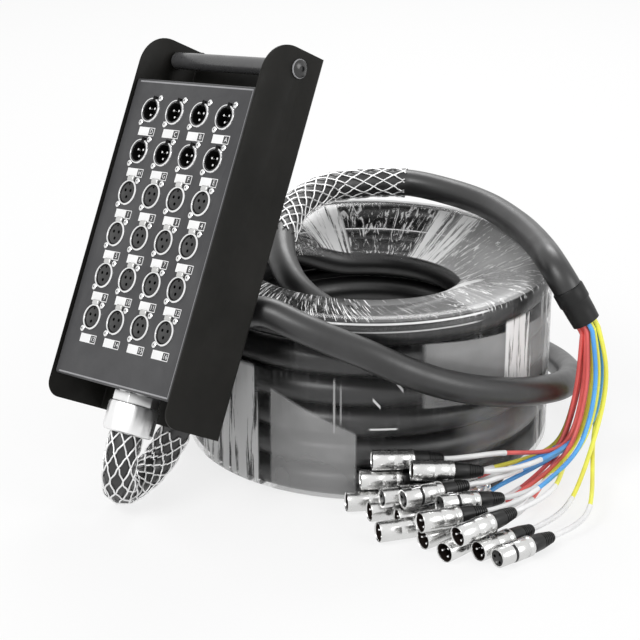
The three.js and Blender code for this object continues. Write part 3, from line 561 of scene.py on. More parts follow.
def frames_along(points, start, end, count):
    """Stations with a direction and a sideways vector that doesn't twist."""
    made, side = [], None
    for i in range(count + 1):
        point, ahead = along(points, start + (end - start) * i / count)
        if side is None:
            side = ahead.orthogonal().normalized()
        side = (side - ahead * side.dot(ahead)).normalized()
        made.append((point, ahead, side, ahead.cross(side)))
    return made


def wire_sock(name, points, start, end, turns, radius=15.1, wires=8, wire=0.85):
    """Crossed helices of wire round a stretch of cable."""
    stations = frames_along(points, start, end, 120)
    lines = []
    for hand in (1, -1):
        for k in range(wires):
            line = []
            for i, (point, ahead, side, beside) in enumerate(stations):
                turned_by = turns * i / (len(stations) - 1) * 2 * math.pi
                angle = hand * turned_by + 2 * math.pi * (k + 0.25 * hand) / wires
                lift = radius + 0.7 * wire * math.sin(turned_by * wires + hand * math.pi / 2)
                line.append(point + (side * math.cos(angle) + beside * math.sin(angle)) * lift * MM)
            lines.append(line)
    return round_curve(name, lines, wire * MM, galvanised_wire, 1, caps=False)


box_sock = wire_sock("box_sock", box_tail_points, 0.0, 0.175, 1.15)
where_it_starts = spot(-86, 5, 198.5)
sock_start = next(i for i, p in enumerate(fan_tail_points) if (p - where_it_starts).length < 9 * MM)
fan_sock_start = length_of(fan_tail_points[: sock_start + 1])
fan_sock = wire_sock("fan_sock", fan_tail_points, fan_sock_start, fan_sock_start + 0.243, 1.3)
print("wires in the socks", [len(sock.data.splines) for sock in (box_sock, fan_sock)])

# %% [markdown]
# ## The box
# The cover and the face plate are folded sheet. Their imported shapes are right, so each is
# copied, its doubled points are merged, and its hard edges get the small round that paint
# leaves on a folded edge, because that is what catches the light. The rounds are painted a
# paler grey than the faces, as a painted highlight.


# %% Box
def arc(cx, cy, radius, start, end, steps):
    """Points of an arc, in degrees, for a profile."""
    angles = [math.radians(start + (end - start) * i / steps) for i in range(steps + 1)]
    return [(cx + radius * math.cos(a), cy + radius * math.sin(a)) for a in angles]


# the cover's rounded bends and edges take the grey of a painted highlight
softened("outer_cover", 0.4, [black_powder, black_edge_highlight])
# the plate's rounded edges take the pale grey of a painted highlight
plate = softened("face_plate", 0.5, [grey_powder, grey_edge_highlight])
half = 84 - 0.3
handle = turned([(0, -half), (7.2, -half), (8, 0.8 - half), (8, half - 0.8), (7.2, half), (0, half)], 48)
handle_line = BOX @ Matrix.Translation((0, 159, -38.5))
across = handle_line @ Matrix.Rotation(math.pi / 2, 4, "Y")
make_piece("handle_tube", handle, across, [tube_lacquer], replaces=("handle_bar",))
for side, node in ((1, "handle_bolt_right"), (-1, "handle_bolt_left")):
    head = turned([(0, 65), (3, 65), (3, 86.3), (7.8, 86.3), (7.8, 87.2),
                   *arc(0, 77.2, 13.4, 53, 80, 8), (3.2, 90.4), (3.2, 89.2), (0, 89.2)], 40)
    # the ring round each dome's foot is painted the pale grey of the edge highlight
    add_part(head, turned([(7.5, 86.3), (8.8, 86.3), (8.8, 87.1), (8.3, 87.6), (7.7, 87.6), (7.5, 87.2)],
                          40, closed=True), index=1)
    sideways = handle_line @ Matrix.Rotation(side * math.pi / 2, 4, "Y")
    make_piece(node + "_dome", head, sideways, [black_oxide, grey_edge_highlight], replaces=(node,))
print("faces of the plate's copy", len(plate.data.polygons))

# %% [markdown]
# ## Panel connectors
# The upper two rows are outputs with three pins in a deep cup, and the lower four are
# inputs with three sockets and a thumb tab. Both start from one turned ring. The pins,
# sockets, keyway and fixing screws are small turned parts set in their places.

# %% Small parts
SCREW_X, SCREW_Y = 9.5, 12
CONTACT_ANGLES = (30, 150, 270)


def tile(x0, x1, y0, y1, z0, z1):
    """A block between these planes."""
    bm = bmesh.new()
    made = bmesh.ops.create_cube(bm, size=1)
    bmesh.ops.scale(bm, vec=(x1 - x0, y1 - y0, z1 - z0), verts=made["verts"])
    bmesh.ops.translate(bm, vec=((x0 + x1) / 2, (y0 + y1) / 2, (z0 + z1) / 2), verts=made["verts"])
    return bm


def around(radius, degrees, z=0.0):
    angle = math.radians(degrees)
    return Matrix.Translation((radius * math.cos(angle), radius * math.sin(angle), z))


def add_screws(bm, z=0.1):
    """Two low domed screws with a cross recess, at opposite corners of a connector."""
    for hand in (1, -1):
        at = Matrix.Translation((SCREW_X * hand, SCREW_Y * hand, z))
        add_part(bm, turned([(0, 0), (2.9, 0), (2.9, 0.65), (2.088, 1.235), (0, 1.3)], 20), at)
        for x, y in ((0.25, 1.1), (1.1, 0.25)):
            recess = at @ Matrix.Translation((0, 0, 1.18)) @ Matrix.Rotation(0.5 * hand, 4, "Z")
            add_part(bm, tile(-x, x, -y, y, -0.2, 0.2), recess, 2)


def output_detail():
    """A deep cup with three pins and a keyway."""
    bm = turned([(9.2, -10.2), (9.2, 1.2), (10.4, 1.3), (10.6, 1.8), (11.5, 1.8), (12.0, 1.2),
                 (12.0, -0.1), (11.5, -0.1), (11.5, -10.2)], 48, closed=True)
    # the black ring, the cup's floor, its inner wall and the keyway are near black as painted shade
    add_part(bm, turned([(9.1, 0.9), (10.5, 0.9), (10.5, 1.45), (9.1, 1.45)], 48, closed=True), index=1)
    add_part(bm, turned([(0, -10.25), (9.25, -10.25), (9.25, -9.8), (0, -9.8)], 40), index=1)
    add_part(bm, turned([(8.9, -9.9), (9.24, -9.9), (9.24, 0.4), (8.9, 0.4)], 40, closed=True), index=1)
    for degrees in CONTACT_ANGLES:
        pin = turned([(0, -9.9), (1.4, -9.9), (1.4, -1.5), (1.0, -0.7), (0, -0.4)], 16)
        add_part(bm, pin, around(4.2, degrees), 0)
    keyway = around(10.9, 78, -3.9) @ Matrix.Rotation(math.radians(78), 4, "Z")
    add_part(bm, tile(-2.8, 2.8, -1.9, 1.9, -6, 6), keyway, 1)
    add_screws(bm)
    return bm


def input_detail():
    """A ring round a grey insert with three sockets."""
    bm = turned([(10.3, -1.5), (10.3, 1.4), (10.6, 1.8), (11.5, 1.8), (12.1, 1.2), (12.1, -0.1),
                 (11, -0.1), (11, -23), (10.3, -23)], 48, closed=True)
    add_part(bm, turned([(0, -1.4), (10.5, -1.4), (10.5, -0.4), (0, -0.4)], 40), index=1)
    # the insert is painted a lighter grey for the light it gets near the front
    add_part(bm, turned([(0, -1.2), (9.1, -1.2), (9.1, 0.3), (8.7, 0.6), (0, 0.6)], 40), index=2)
    # each socket hole is a flat disc painted black as its shade
    for degrees in CONTACT_ANGLES:
        add_part(bm, turned([(0, 0.5), (1.5, 0.5), (1.5, 0.68), (0, 0.68)], 16), around(4.2, degrees), 3)
    # the keyway slot is a small tile painted black as its shade
    add_part(bm, tile(-0.9, 0.9, 7.2, 8.8, 0.25, 0.75), index=3)
    add_screws(bm)
    return bm

# %% [markdown]
# ## Connectors in their grid
# The connectors sit in four columns and six rows, counted from the top left. Each output
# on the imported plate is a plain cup, so the plate's copy loses those faces where the
# detailed cup takes their place.

# %% Connectors in their grid
COLUMN_PITCH, ROW_PITCH, OUTPUTS, CUP = 34.8, 39.6, 8, 9.7
grid = [((column - 1.5) * COLUMN_PITCH, (2.5 - row) * ROW_PITCH, 0)
        for row in range(6) for column in range(4)]
jack_finishes = [chrome, black_nylon_painted_shade, grey_nylon_painted_light_and_shade, hole_painted_shade]
for number, place in enumerate(grid, 1 - OUTPUTS):
    here = BOX @ Matrix.Translation(place)
    if number < 1:
        make_piece(f"output_{number + OUTPUTS:02d}", output_detail(), here, jack_finishes)
    else:
        make_piece(f"input_{number:02d}", input_detail(), here, jack_finishes,
                   replaces=(f"input_jack_{number:02d}",))
        softened(f"release_tab_{number:02d}", 0.7, [pressed_steel], f"tab_{number:02d}")

opened = bmesh.new()
opened.from_mesh(plate.data)
from_world = BOX.inverted()


def in_cup(place):
    return place.z < -0.3 and any(math.hypot(place.x - x, place.y - y) < CUP for x, y, z in grid[:OUTPUTS])


spare = [face for face in opened.faces if all(in_cup(from_world @ vert.co) for vert in face.verts)]
bmesh.ops.delete(opened, geom=spare, context="FACES")
opened.to_mesh(plate.data)
opened.free()
print(len(grid), "connectors; plain faces taken out of the cups", len(spare))

# %% [markdown]
# ## Channel labels
# Under each connector is a white strip to write on, and at its right end a small dark
# field in a white frame with the channel's letter or number. The strips are thin tiles,
# and the characters are plain text turned to mesh.


# %% Channel labels
def character(text, size):
    """A flat character as a bmesh, centred on the origin."""
    curve = bpy.data.curves.new("character", "FONT")
    curve.body, curve.size, curve.align_x, curve.align_y = text, size, "CENTER", "CENTER"
    holder = bpy.data.objects.new("character", curve)
    flat = bpy.data.meshes.new_from_object(holder)
    bm = bmesh.new()
    bm.from_mesh(flat)
    bpy.data.objects.remove(holder)
    bpy.data.curves.remove(curve)
    bpy.data.meshes.remove(flat)
    return bm


channel_names = [*"DCBAHGFE", *map(str, range(1, 17))]
labels = bmesh.new()
for place, channel in zip(grid, channel_names):
    at = Matrix.Translation(place)
    add_part(labels, tile(-9.4, 4.8, -24.2, -16.2, -0.05, 0.12), at)
    add_part(labels, tile(4.8, 13.2, -24.2, -16.2, -0.05, 0.10), at)
    add_part(labels, tile(5.4, 12.5, -23.5, -16.9, 0.0, 0.14), at, 1)
    add_part(labels, character(channel, 6.2), at @ Matrix.Translation((8.95, -20.2, 0.17)))
make_piece("channel_labels", labels, BOX, [white_ink, grey_ink], crisp=30, tidy=False)
# thin pale strips along the plate's top, bottom and right edges are painted highlights
plate_edge_highlights = tile(-79, 79, 125.4, 126.8, -0.1, 0.12)
add_part(plate_edge_highlights, tile(-79, 79, -154.4, -153.0, -0.1, 0.12))
add_part(plate_edge_highlights, tile(78.5, 79.1, -153, 125.4, -0.1, 0.12))
make_piece("plate_edge_highlight_lines", plate_edge_highlights, BOX, [grey_edge_highlight], tidy=False)
print("labels", " ".join(channel_names))

# %% [markdown]
# ## Cable gland
# The gland's hexagon body is screwed to the end wall, and its cap squeezes a rubber ring
# on the cable. The cap has shallow flutes for the fingers and one slot, drawn as a dark tile of painted
# shade.


# %% Cable gland
def hexagon(radius, low, high, chamfer):
    bm = turned([(0, low), (radius, low), (radius, high), (0, high)], 6)
    bmesh.ops.bevel(bm, geom=sharp_edges(bm, 30), offset=chamfer, segments=3, profile=0.5,
                    affect="EDGES", material=-1)
    return bm


FLUTES, FLUTE_DEPTH = 15, 0.018
GLAND = BOX @ Matrix.Translation((0, 0, -33)) @ Matrix.Rotation(-math.pi / 2, 4, "X")
body = hexagon(21.6, -166.3, -156.3, 0.8)
add_part(body, turned([(19, -157), (19, -148), (17.5, -147.3), (16, -147.3), (16, -157)], 40, closed=True))
make_piece("gland_nut", body, GLAND, [nickelled_brass], replaces=("gland_body",))
cap = turned([(16, -193.4), (20.5, -193.6), (22.6, -192.2), (23.5, -189.5), (23.5, -168.2),
              (22.6, -166.6), (18.4, -166.6), (18.4, -182), (16, -182)], 60, closed=True)
for vert in cap.verts:
    if math.hypot(vert.co.x, vert.co.y) > 23 and -190 < vert.co.z < -168:
        flute = 1 + math.cos(math.atan2(vert.co.y, vert.co.x) * FLUTES)
        vert.co.x *= 1 - FLUTE_DEPTH * flute
        vert.co.y *= 1 - FLUTE_DEPTH * flute
# the slot is a grey tile standing out of the cap, painted shade where a slot would be
add_part(cap, tile(-1.6, 1.6, 22.4, 24.2, -190, -176), Matrix.Rotation(math.radians(-62), 4, "Z"), 1)
make_piece("gland_cap_fluted", cap, GLAND, [nickelled_brass, grey_nylon_painted_light_and_shade], replaces=("gland_cap",))

# %% [markdown]
# ## Stretch film
# Stretch film is clear and glossy where it lies in one tight layer, and milky where layers
# overlap or bunch. So the finish has two looks, a thin dark gloss and a milky white, and one
# mask that tells where the white is. The mask is a list of zones round the coil, most of
# them broken up by streaks that run up the wall and in towards the hole, as the film was
# pulled. Besides the milky layers, the white paints the film's reflections and highlights:
# the bright streaks on the wall and in the funnel, the bands along the rim and the crest,
# and short dashes.

# %% Film zones
# angles in degrees round the coil and their softness, heights in millimetres, softness and
# slant in millimetres a degree, reaches, strength, pattern
WALL, FUNNEL = (165, 200), (95, 160)
haze_and_reflection_zones = [
    ((-74, -6, 2), (94, 156, 2, -0.2), WALL, 0.4, "plain"),
    # the bright streaks up the right of the wall are painted reflections
    ((-46, -33, 1), (92, 158, 6, 0), WALL, 1.0, "broad"),
    ((-24, 14, 6), (10, 165, 10, 0), WALL, 0.5, "broad"),
    ((-56, -14, 12), (40, 78, 10, 0.3), WALL, 0.3, "plain"),
    ((-120.5, -95, 1), (-60, 103, 5, -1.35), WALL, 0.4, "plain"),
    ((-152, -126, 1), (-5, 120, 8, 0), WALL, 0.75, "broad"),
    ((20, 200, 8), (10, 160, 8, 0), WALL, 0.35, "fine"),
    # the white streaks in the funnel are painted reflections
    ((101, 120, 3), (112, 180, 5, 0), FUNNEL, 1.0, "broad"),
    ((42, 60, 3), (112, 180, 5, 0), FUNNEL, 1.0, "broad"),
    ((60, 101, 4), (112, 182, 5, 0), FUNNEL, 0.8, "torn"),
    ((120, 175, 6), (112, 180, 5, 0), FUNNEL, 0.6, "torn"),
    ((-56, 50, 8), (125, 200, 6, 0), (95, 178), 0.5, "plain"),
    ((-60, 56, 8), (125, 200, 6, 0), (95, 180), 0.8, "torn"),
    # a white band along the far rim is a painted highlight
    ((52, 140, 4), (177, 200, 1, 0), (170, 190), 0.97, "plain"),
    ((-158, -92, 4), (160, 200, 3, 0), (124, 178), 0.95, "hatch"),
    ((-92, -50, 6), (160, 200, 3, 0), (126, 178), 0.22, "plain"),
    ((-92, -50, 6), (160, 200, 3, 0), (126, 178), 0.5, "hatch"),
    # a bright line along the near crest is a painted highlight
    ((-175, -30, 8), (174, 182, 2, 0), (119, 125), 0.9, "plain"),
    # two thin lines just under the rim are painted highlights
    ((-108, -56, 6), (177.6, 178.8, 0.6, 0), (178, 190), 0.9, "plain"),
    ((-112, -60, 6), (170.4, 171.4, 0.6, 0), (180, 200), 0.6, "plain"),
    # thin lines and short dashes on the wall are painted reflections of crinkles
    ((-101.2, -100.7, 0.15), (72, 118, 10, 0), WALL, 0.5, "plain"),
    ((-99.2, -98.8, 0.15), (84, 112, 10, 0), WALL, 0.4, "plain"),
    ((-89.6, -87.7, 0.4), (103.5, 105.5, 1.5, -3.6), WALL, 0.75, "plain"),
    ((-83.6, -81.1, 0.4), (123, 125.5, 1.5, -4.4), WALL, 0.75, "plain"),
    ((-90, -83.3, 1.5), (74.5, 75.5, 1, 0), WALL, 0.8, "plain"),
    ((-180, 180, 1), (-5, 200, 1, 0), (60, 200), 0.06, "fine"),
]
print(len(haze_and_reflection_zones), "zones of haze")

# %% Film streaks
FILM_RADIUS, HATCH_SKEW = 190, -2.5
film_patterns = {
    # width round the coil and length along the pull in millimetres, detail, roughness,
    # distortion, and where the white starts and is full
    "fine": (2.8, 43, 6, 0.62, 0.5, 0.5, 0.6),
    "broad": (8.1, 123, 5, 0.7, 0.3, 0.4, 0.5),
    "torn": (7.3, 23, 7, 0.66, 1.6, 0.52, 0.6),
    "hatch": (1.8, 35, 4, 0.6, 0.2, 0.54, 0.62),
}


def window(finish, value, low, high, soft):
    """1 between low and high, and 0 further than soft outside them."""
    rise = add_node(finish, "MapRange", value, low - soft, low, interpolation_type="SMOOTHSTEP")
    fall = add_node(finish, "MapRange", value, high, high + soft, 1.0, 0.0,
                    interpolation_type="SMOOTHSTEP")
    return add_node(finish, "Math", rise, fall, operation="MULTIPLY")


# %% The film's nodes
def stretch_film(name):
    """Polyethylene film: clear and glossy in one layer, milky where it bunches, and white with painted
    reflections and highlights.
    """
    finish, shader = new_finish(name, "#f3f3f6", 0.1)
    # clear film has an IOR of 1.5; its many layers mirror more, as 1.9 does
    shader.inputs["IOR"].default_value = 1.9
    place = add_node(finish, "TexCoord", out="Object")
    shifted = add_node(finish, "Mapping", place, (-coil_centre.x, -coil_centre.y, 0))
    across, deep, up = (add_node(finish, "SeparateXYZ", shifted, out=axis) for axis in "XYZ")
    angle = add_node(finish, "Math", deep, across, operation="ARCTAN2")
    flat = add_node(finish, "CombineXYZ", across, deep)
    reach = add_node(finish, "VectorMath", flat, out="Value", operation="LENGTH")
    skewed = add_node(finish, "Math", reach, HATCH_SKEW, angle, operation="MULTIPLY_ADD")

    def streaks(turn, wide, long, detail, roughness=0.5, distortion=0.0):
        """A noise drawn out along the pull of the film."""
        polar = add_node(finish, "CombineXYZ", turn, reach, up)
        scale = (FILM_RADIUS / wide, per_metre(long), per_metre(long))
        drawn = add_node(finish, "Mapping", polar, Scale=scale)
        return add_node(finish, "TexNoise", drawn, Scale=1, Detail=detail, Roughness=roughness,
                        Distortion=distortion)

    cloud = add_node(finish, "TexNoise", shifted, Scale=per_metre(71), Detail=3)
    patterns = {"plain": add_node(finish, "ValToRGB", cloud, stops=[(0.3, 0.75), (0.7, 1.0)])}
    for pattern, (wide, long, detail, roughness, distortion, low, high) in film_patterns.items():
        drawn = streaks(skewed if pattern == "hatch" else angle, wide, long, detail, roughness, distortion)
        patterns[pattern] = add_node(finish, "ValToRGB", drawn, stops=[(low, 0.0), (high, 1.0)])
    degrees = add_node(finish, "Math", angle, 180 / math.pi, operation="MULTIPLY")
    height = add_node(finish, "Math", up, 1 / MM, operation="MULTIPLY")
    outwards = add_node(finish, "Math", reach, 1 / MM, operation="MULTIPLY")
    haze_and_reflections = 0.0
    for (a0, a1, a_soft), (z0, z1, z_soft, slant), (r0, r1), strength, pattern in haze_and_reflection_zones:
        along = add_node(finish, "Math", degrees, a0, operation="SUBTRACT")
        level = add_node(finish, "Math", along, -slant, height, operation="MULTIPLY_ADD")
        here = window(finish, degrees, a0, a1, a_soft)
        if a1 > 180:
            wrapped = window(finish, degrees, a0 - 360, a1 - 360, a_soft)
            here = add_node(finish, "Math", here, wrapped, operation="MAXIMUM")
        for part in (window(finish, level, z0, z1, z_soft), window(finish, outwards, r0, r1, 2),
                     strength, patterns[pattern]):
            here = add_node(finish, "Math", here, part, operation="MULTIPLY")
        haze_and_reflections = add_node(finish, "Math", here, haze_and_reflections, operation="MAXIMUM")
    # the mask paints the film white where it is milky and where reflections and highlights are painted
    add_node(finish, "ValToRGB", haze_and_reflections, to=shader.inputs["Base Color"],
             stops=[(0.0, "#19191b"), (0.3, "#bfbfbf"), (0.55, "#dadada"), (1.0, "#f9f9f9")])
    add_node(finish, "ValToRGB", haze_and_reflections, to=shader.inputs["Alpha"],
             stops=[(0.0, 0.1), (0.1, 0.26), (0.35, 0.43), (0.6, 0.8), (1.0, 0.97)])
    add_node(finish, "ValToRGB", haze_and_reflections, stops=[(0.0, 0.08), (1.0, 0.4)], to=shader.inputs["Roughness"])
    ripple = streaks(angle, 6.6, 101, 4)
    add_node(finish, "Bump", Height=ripple, Distance=1.2 * MM, Strength=0.6, to=shader.inputs["Normal"])
    finish.surface_render_method = "BLENDED"
    return finish


film_clear = stretch_film("polyethylene_film")
print("film finish has", len(film_clear.node_tree.nodes), "nodes")

# %% [markdown]
# ## Stretch film shape
# Seen from above, the film turns over a crest on the near side, and slopes down into the
# funnel on the far side, where it lies on the turn that dips. Its outline is worked out
# for every degree or so from that turn's swing, and the outlines are bridged to a skin.

# %% Stretch film shape
film_edge, film_rim, film_sides = 182, 181.9, 300
film_hole = outer_layer - 2 * layer_pitch - 14


def film_outline(swing, reach):
    """Radius and height of the film's skin, from its lower lip round to its crest's skirt."""
    share = swing / (math.pi / 2)
    top = first_row + (coil_rows - 1) * row_pitch
    turn_at = outer_layer - (1 + math.sin(swing)) * layer_pitch
    height = top - (1 - math.cos(swing)) * row_pitch
    slope = math.atan2(top - height, outer_layer - turn_at)
    bend = math.radians(90 - 66 * share)
    swollen = reach + 0.5 + 1.2 * math.sin(2 * swing)
    crest = []
    for i in range(9):
        lean = slope + bend * i / 8
        corner = 1 + (0.16 - 0.12 * share) * math.sin(math.pi * i / 8) ** 2
        crest.append((turn_at - swollen * corner * math.sin(lean),
                      height + swollen * corner * math.cos(lean)))
    end, lean = crest[-1], slope + bend
    skirt = 15.5 - 12 * share
    hanging = [(end[0] - skirt * k / 3 * math.cos(lean), end[1] - skirt * k / 3 * math.sin(lean))
               for k in (1, 2, 3)]
    shoulder = (outer_layer - reach * math.tan(slope / 2) - 0.7, top + reach)
    over = [(shoulder[0] + (crest[0][0] - shoulder[0]) * k / 8,
             shoulder[1] + (crest[0][1] - shoulder[1]) * k / 8) for k in range(8)]
    edge, rim = film_edge - 15.2 + reach, film_rim - 15.2 + reach
    return [(film_hole, 32), (film_hole, 16), (film_hole + 0.6, 1.2), (film_hole + 3, 0.5), (140, 0.5),
            (edge - 6, 0.5), (edge - 2, 2), (edge, 7), *[(edge, 20 + 13 * k) for k in range(12)],
            (edge, rim - 7), (edge - 2, rim - 2.2), (edge - 7, rim - 0.1), *over, *crest, *hanging]


FLOOR = Matrix.Translation(coil_centre) @ Matrix.Scale(MM, 4)
film = bmesh.new()
rings = []
for i in range(film_sides):
    degrees = 360 * i / film_sides
    angle = math.radians(170 - degrees)
    ring = []
    for radius, height in film_outline(funnel_swing(coil_rows * 360 + degrees), 15.0):
        here = Vector((6 * math.cos(angle), 6 * math.sin(angle), height * 0.01))
        slow, quick = noise.noise(here), noise.noise(here * 4)
        sink = 0.45 * abs(slow) + 0.35 * abs(quick)
        if height > film_rim - 3:
            height -= sink
        elif radius > 100:
            radius -= sink if height < film_rim - 8 else 0.3 * sink
        ring.append(film.verts.new((radius * math.cos(angle), radius * math.sin(angle), height)))
    rings.append(ring)
for ring, after in zip(rings, rings[1:] + rings[:1]):
    for a, b, c, d in zip(ring, ring[1:], after[1:], after):
        film.faces.new((a, d, c, b))
make_piece("film_skin", film, FLOOR, [film_clear], replaces=("film_wrap",), crisp=80)
print("film skin", film_sides, "outlines of", len(rings[0]), "points")

# %% [markdown]
# ## Breakout boot
# Where the thick cable splits, a matt shrink boot covers the joint. It has a step where
# the outer tube ends over the inner one.

# %% Breakout boot
boot_length = (boot_end - boot_start).length / MM
boot = turned([(0, 0.3), (14.6, 0.3), (15.2, 1.2), (15.2, 0.38 * boot_length), (14.7, 0.41 * boot_length),
               (14.2, 0.43 * boot_length), (14.0, 0.7 * boot_length), (13.5, boot_length - 0.4),
               (12.4, boot_length), (0, boot_length)], 48)
boot_turn = Vector((0, 0, 1)).rotation_difference(boot_down).to_matrix().to_4x4()
boot_piece = make_piece("shrink_boot", boot, Matrix.Translation(boot_start) @ boot_turn @ Matrix.Scale(MM, 4),
                        [shrink_tube], replaces=("breakout_boot",))
print("boot", round(boot_length, 1), "mm long")

# %% [markdown]
# ## Inline plugs
# Most of the fan's plugs have pins, and four have sockets. All share a turned metal shell
# and a black boot with ribs. The pin plug's shell is an open cup, and the socket plug has
# a smaller snout, a black ring behind it and a latch on top.

# %% Plug shapes
PLUG_CONTACT_ANGLES = (90, 210, 330)


def plug_boot(bm):
    ribs = [(0, 38.6), (7.6, 38.6), (8.2, 39.4), (8.2, 42), (7.6, 51.0)]
    for i in range(6):
        z, r = 51.5 + i * 2.35, 7.5 - i * 0.4
        ribs += [(r, z), (r, z + 1.25), (r - 1.1, z + 1.4), (r - 1.1, z + 2.15)]
    ribs += [(4.9, 65.8), (4.3, 66.7), (0, 66.7)]
    add_part(bm, turned(ribs, 32), index=1)


def male_plug():
    bm = turned([(8.3, 13.5), (8.3, 0.5), (8.7, 0), (9.1, 0), (9.5, 0.5), (9.5, 19), (9.35, 19.3),
                 (9.35, 19.9), (9.5, 20.2), (9.5, 32), (9.2, 32.4), (9.2, 33.2), (9.5, 33.6), (9.5, 37.6),
                 (8.9, 38.8), (7.4, 38.8), (7.4, 13.5)], 36, closed=True)
    add_part(bm, turned([(0, 13.3), (8.35, 13.3), (8.35, 14.3), (0, 14.3)], 32), index=4)
    # a thin brown-black lining inside the shell is painted shade
    add_part(bm, turned([(8.05, 1.2), (8.32, 1.2), (8.32, 13.6), (8.05, 13.6)], 32, closed=True), index=4)
    for degrees in PLUG_CONTACT_ANGLES:
        pin = turned([(0, 2.0), (0.9, 2.3), (1.4, 3.2), (1.4, 13.6), (0, 13.6)], 14)
        add_part(bm, pin, around(4.4, degrees), 2)
    plug_boot(bm)
    return bm


def female_plug():
    bm = turned([(7.2, 3), (7.2, 0.4), (7.5, 0), (8.6, 0), (9.0, 0.5), (9.0, 15.2), (8.4, 15.6),
                 (7.2, 15.6)], 36, closed=True)
    add_part(bm, turned([(8.2, 15.4), (8.8, 15.5), (9.1, 15.9), (9.1, 17.6), (8.8, 18.0), (8.2, 18.1)],
                        36, closed=True), index=1)
    add_part(bm, turned([(7.5, 18.0), (9.2, 18.0), (9.5, 18.4), (9.5, 32), (9.2, 32.4), (9.2, 33.2),
                         (9.5, 33.6), (9.5, 37.6), (8.9, 38.8), (7.5, 38.8)], 36, closed=True))
    add_part(bm, turned([(0, 1.4), (6.6, 1.4), (7.3, 1.9), (7.3, 3), (0, 3)], 32), index=1)
    # each socket hole is a flat disc painted black as its shade
    for degrees in PLUG_CONTACT_ANGLES:
        add_part(bm, turned([(0, 1.2), (1.4, 1.2), (1.4, 1.6), (0, 1.6)], 14), around(4.4, degrees), 3)
    plug_boot(bm)
    return bm

# %% [markdown]
# ## Plugs in their pile
# Each plug lies where the photograph shows it. Its place is counted in plug widths from
# the coil's centre, with the way it points and how far it dips, both in degrees.

# %% Plugs in their pile
PLUG, PLUG_TAIL = 19, 66
plug_places = [
    ("plug_01_male", (-1.229, -10.556, 0.559), 10.9, 1.4),
    ("plug_02_male", (-0.149, -11.593, 0.556), 18.8, 1.4),
    ("plug_03_male", (1.16, -12.236, 0.52), 18.8, 0.4),
    ("plug_04_male", (0.223, -13.678, 0.553), 19.7, 1.2),
    ("plug_05_male", (2.289, -14.351, 0.526), 34.7, -0.5),
    ("plug_06_male", (3.223, -15.584, 0.505), 44.5, 0.0),
    ("plug_07_male", (4.788, -15.488, 0.52), 39.6, 0.4),
    ("plug_08_female", (5.603, -16.151, 0.526), 38.0, 0.5),
    ("plug_09_female", (1.411, -12.762, 1.821), 25.7, 0.3),
    ("plug_10_female", (3.126, -13.075, 1.7), 26.6, 7.1),
    ("plug_11_male", (2.127, -14.676, 1.586), 25.6, 3.0),
    ("plug_12_male", (3.781, -15.852, 1.474), 37.0, -3.0),
    ("plug_13_male", (1.884, -11.053, 2.495), 8.0, 4.5),
    ("plug_14_male", (-0.547, -10.174, 1.553), 6.0, 1.5),
    ("plug_15_female", (0.442, -12.012, 1.489), 21.5, 2.7),
    ("plug_16_male", (0.0, -10.158, 2.605), 6.7, 2.0),
    ("plug_17_male", (4.263, -10.263, 0.511), 50.0, 0.0),
]
plug_pieces, plug_tails = [], []
for name, share, heading, dip in plug_places:
    stand = (Matrix.Translation(spot(*(PLUG * v for v in share)))
             @ Matrix.Rotation(math.radians(heading), 4, "Z")
             @ Matrix.Rotation(math.pi / 2 + math.radians(dip), 4, "Y") @ Matrix.Scale(MM, 4))
    shape = female_plug() if name.endswith("female") else male_plug()
    piece = make_piece(name.replace("plug", "inline"), shape, stand,
                       [satin_nickel, boot_rubber, chrome, hole_painted_shade, brown_nylon_and_painted_shade],
                       replaces=(name,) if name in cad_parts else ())
    plug_pieces.append(piece)
    plug_tails.append((stand @ Vector((0, 0, PLUG_TAIL)), stand.to_3x3().col[2].normalized()))
for number in (8, 9, 10):
    softened(f"plug_{number:02d}_latch", 0.5, [chrome], f"latch_{number:02d}")
print(len(plug_pieces), "plugs")

# %% [markdown]
# ## Leads
# Each lead leaves the boot in a bundle, drops to the floor in a loose bow, and runs to
# its plug. Near the plug it wears a white sleeve for the channel's number. Red leads lie
# to the left, and blue and yellow ones to the right, as in the photograph. First each
# lead gets a seat in the bundle, spread as seeds in a sunflower are.

# %% Seats of the leads
boot_side = Vector((0, 1, 0)).cross(boot_down).normalized()
boot_other = boot_down.cross(boot_side)
R, B, Y = red_pvc, blue_pvc, yellow_pvc
colours = [R, Y, R, R, R, Y, R, B, Y, B, B, B, Y, B, B, Y, Y]
SUNFLOWER_TURN = 2.4


def seats_of_leads():
    """Gives each lead a seat in the bundle, from left to right in the order of its plug."""
    seats = []
    for i in range(len(plug_tails)):
        angle, share = i * SUNFLOWER_TURN, math.sqrt((i + 0.5) / len(plug_tails))
        seats.append((boot_side * math.cos(angle) + boot_other * math.sin(angle)) * share)
    seats.sort(key=lambda seat: seat.x)
    order = sorted(range(len(plug_tails)), key=lambda i: plug_tails[i][0].x)
    # two pairs change places, so that their leads cross on the way to the plugs
    order[2], order[11] = order[11], order[2]
    order[5], order[14] = order[14], order[5]
    return {i: (seat, finish) for i, seat, finish in zip(order, seats, colours)}


seats = seats_of_leads()
print("leads from the left", [i + 1 for i in seats])

# %% [markdown]
# ## Drawn leads
# A lead's route is first a smooth curve. Then its points are pushed out of the plugs that
# it would cross and eased again, many times over, until it lies over and beside them.

# %% Drawn leads
LEAD, SLEEVE_LENGTH, EASING = 4.3, 62, 24
SHELL_ROOM, BOOT_ROOM, FLOOR_ROOM, BOOT_PART = 12.8, 11, 2.6, 27
lead_way = [(209, -106, 130), (213, -103, 100), (210, -104, 70), (200, -118, 38)]
lead_spread = [14, 19, 23, 25]


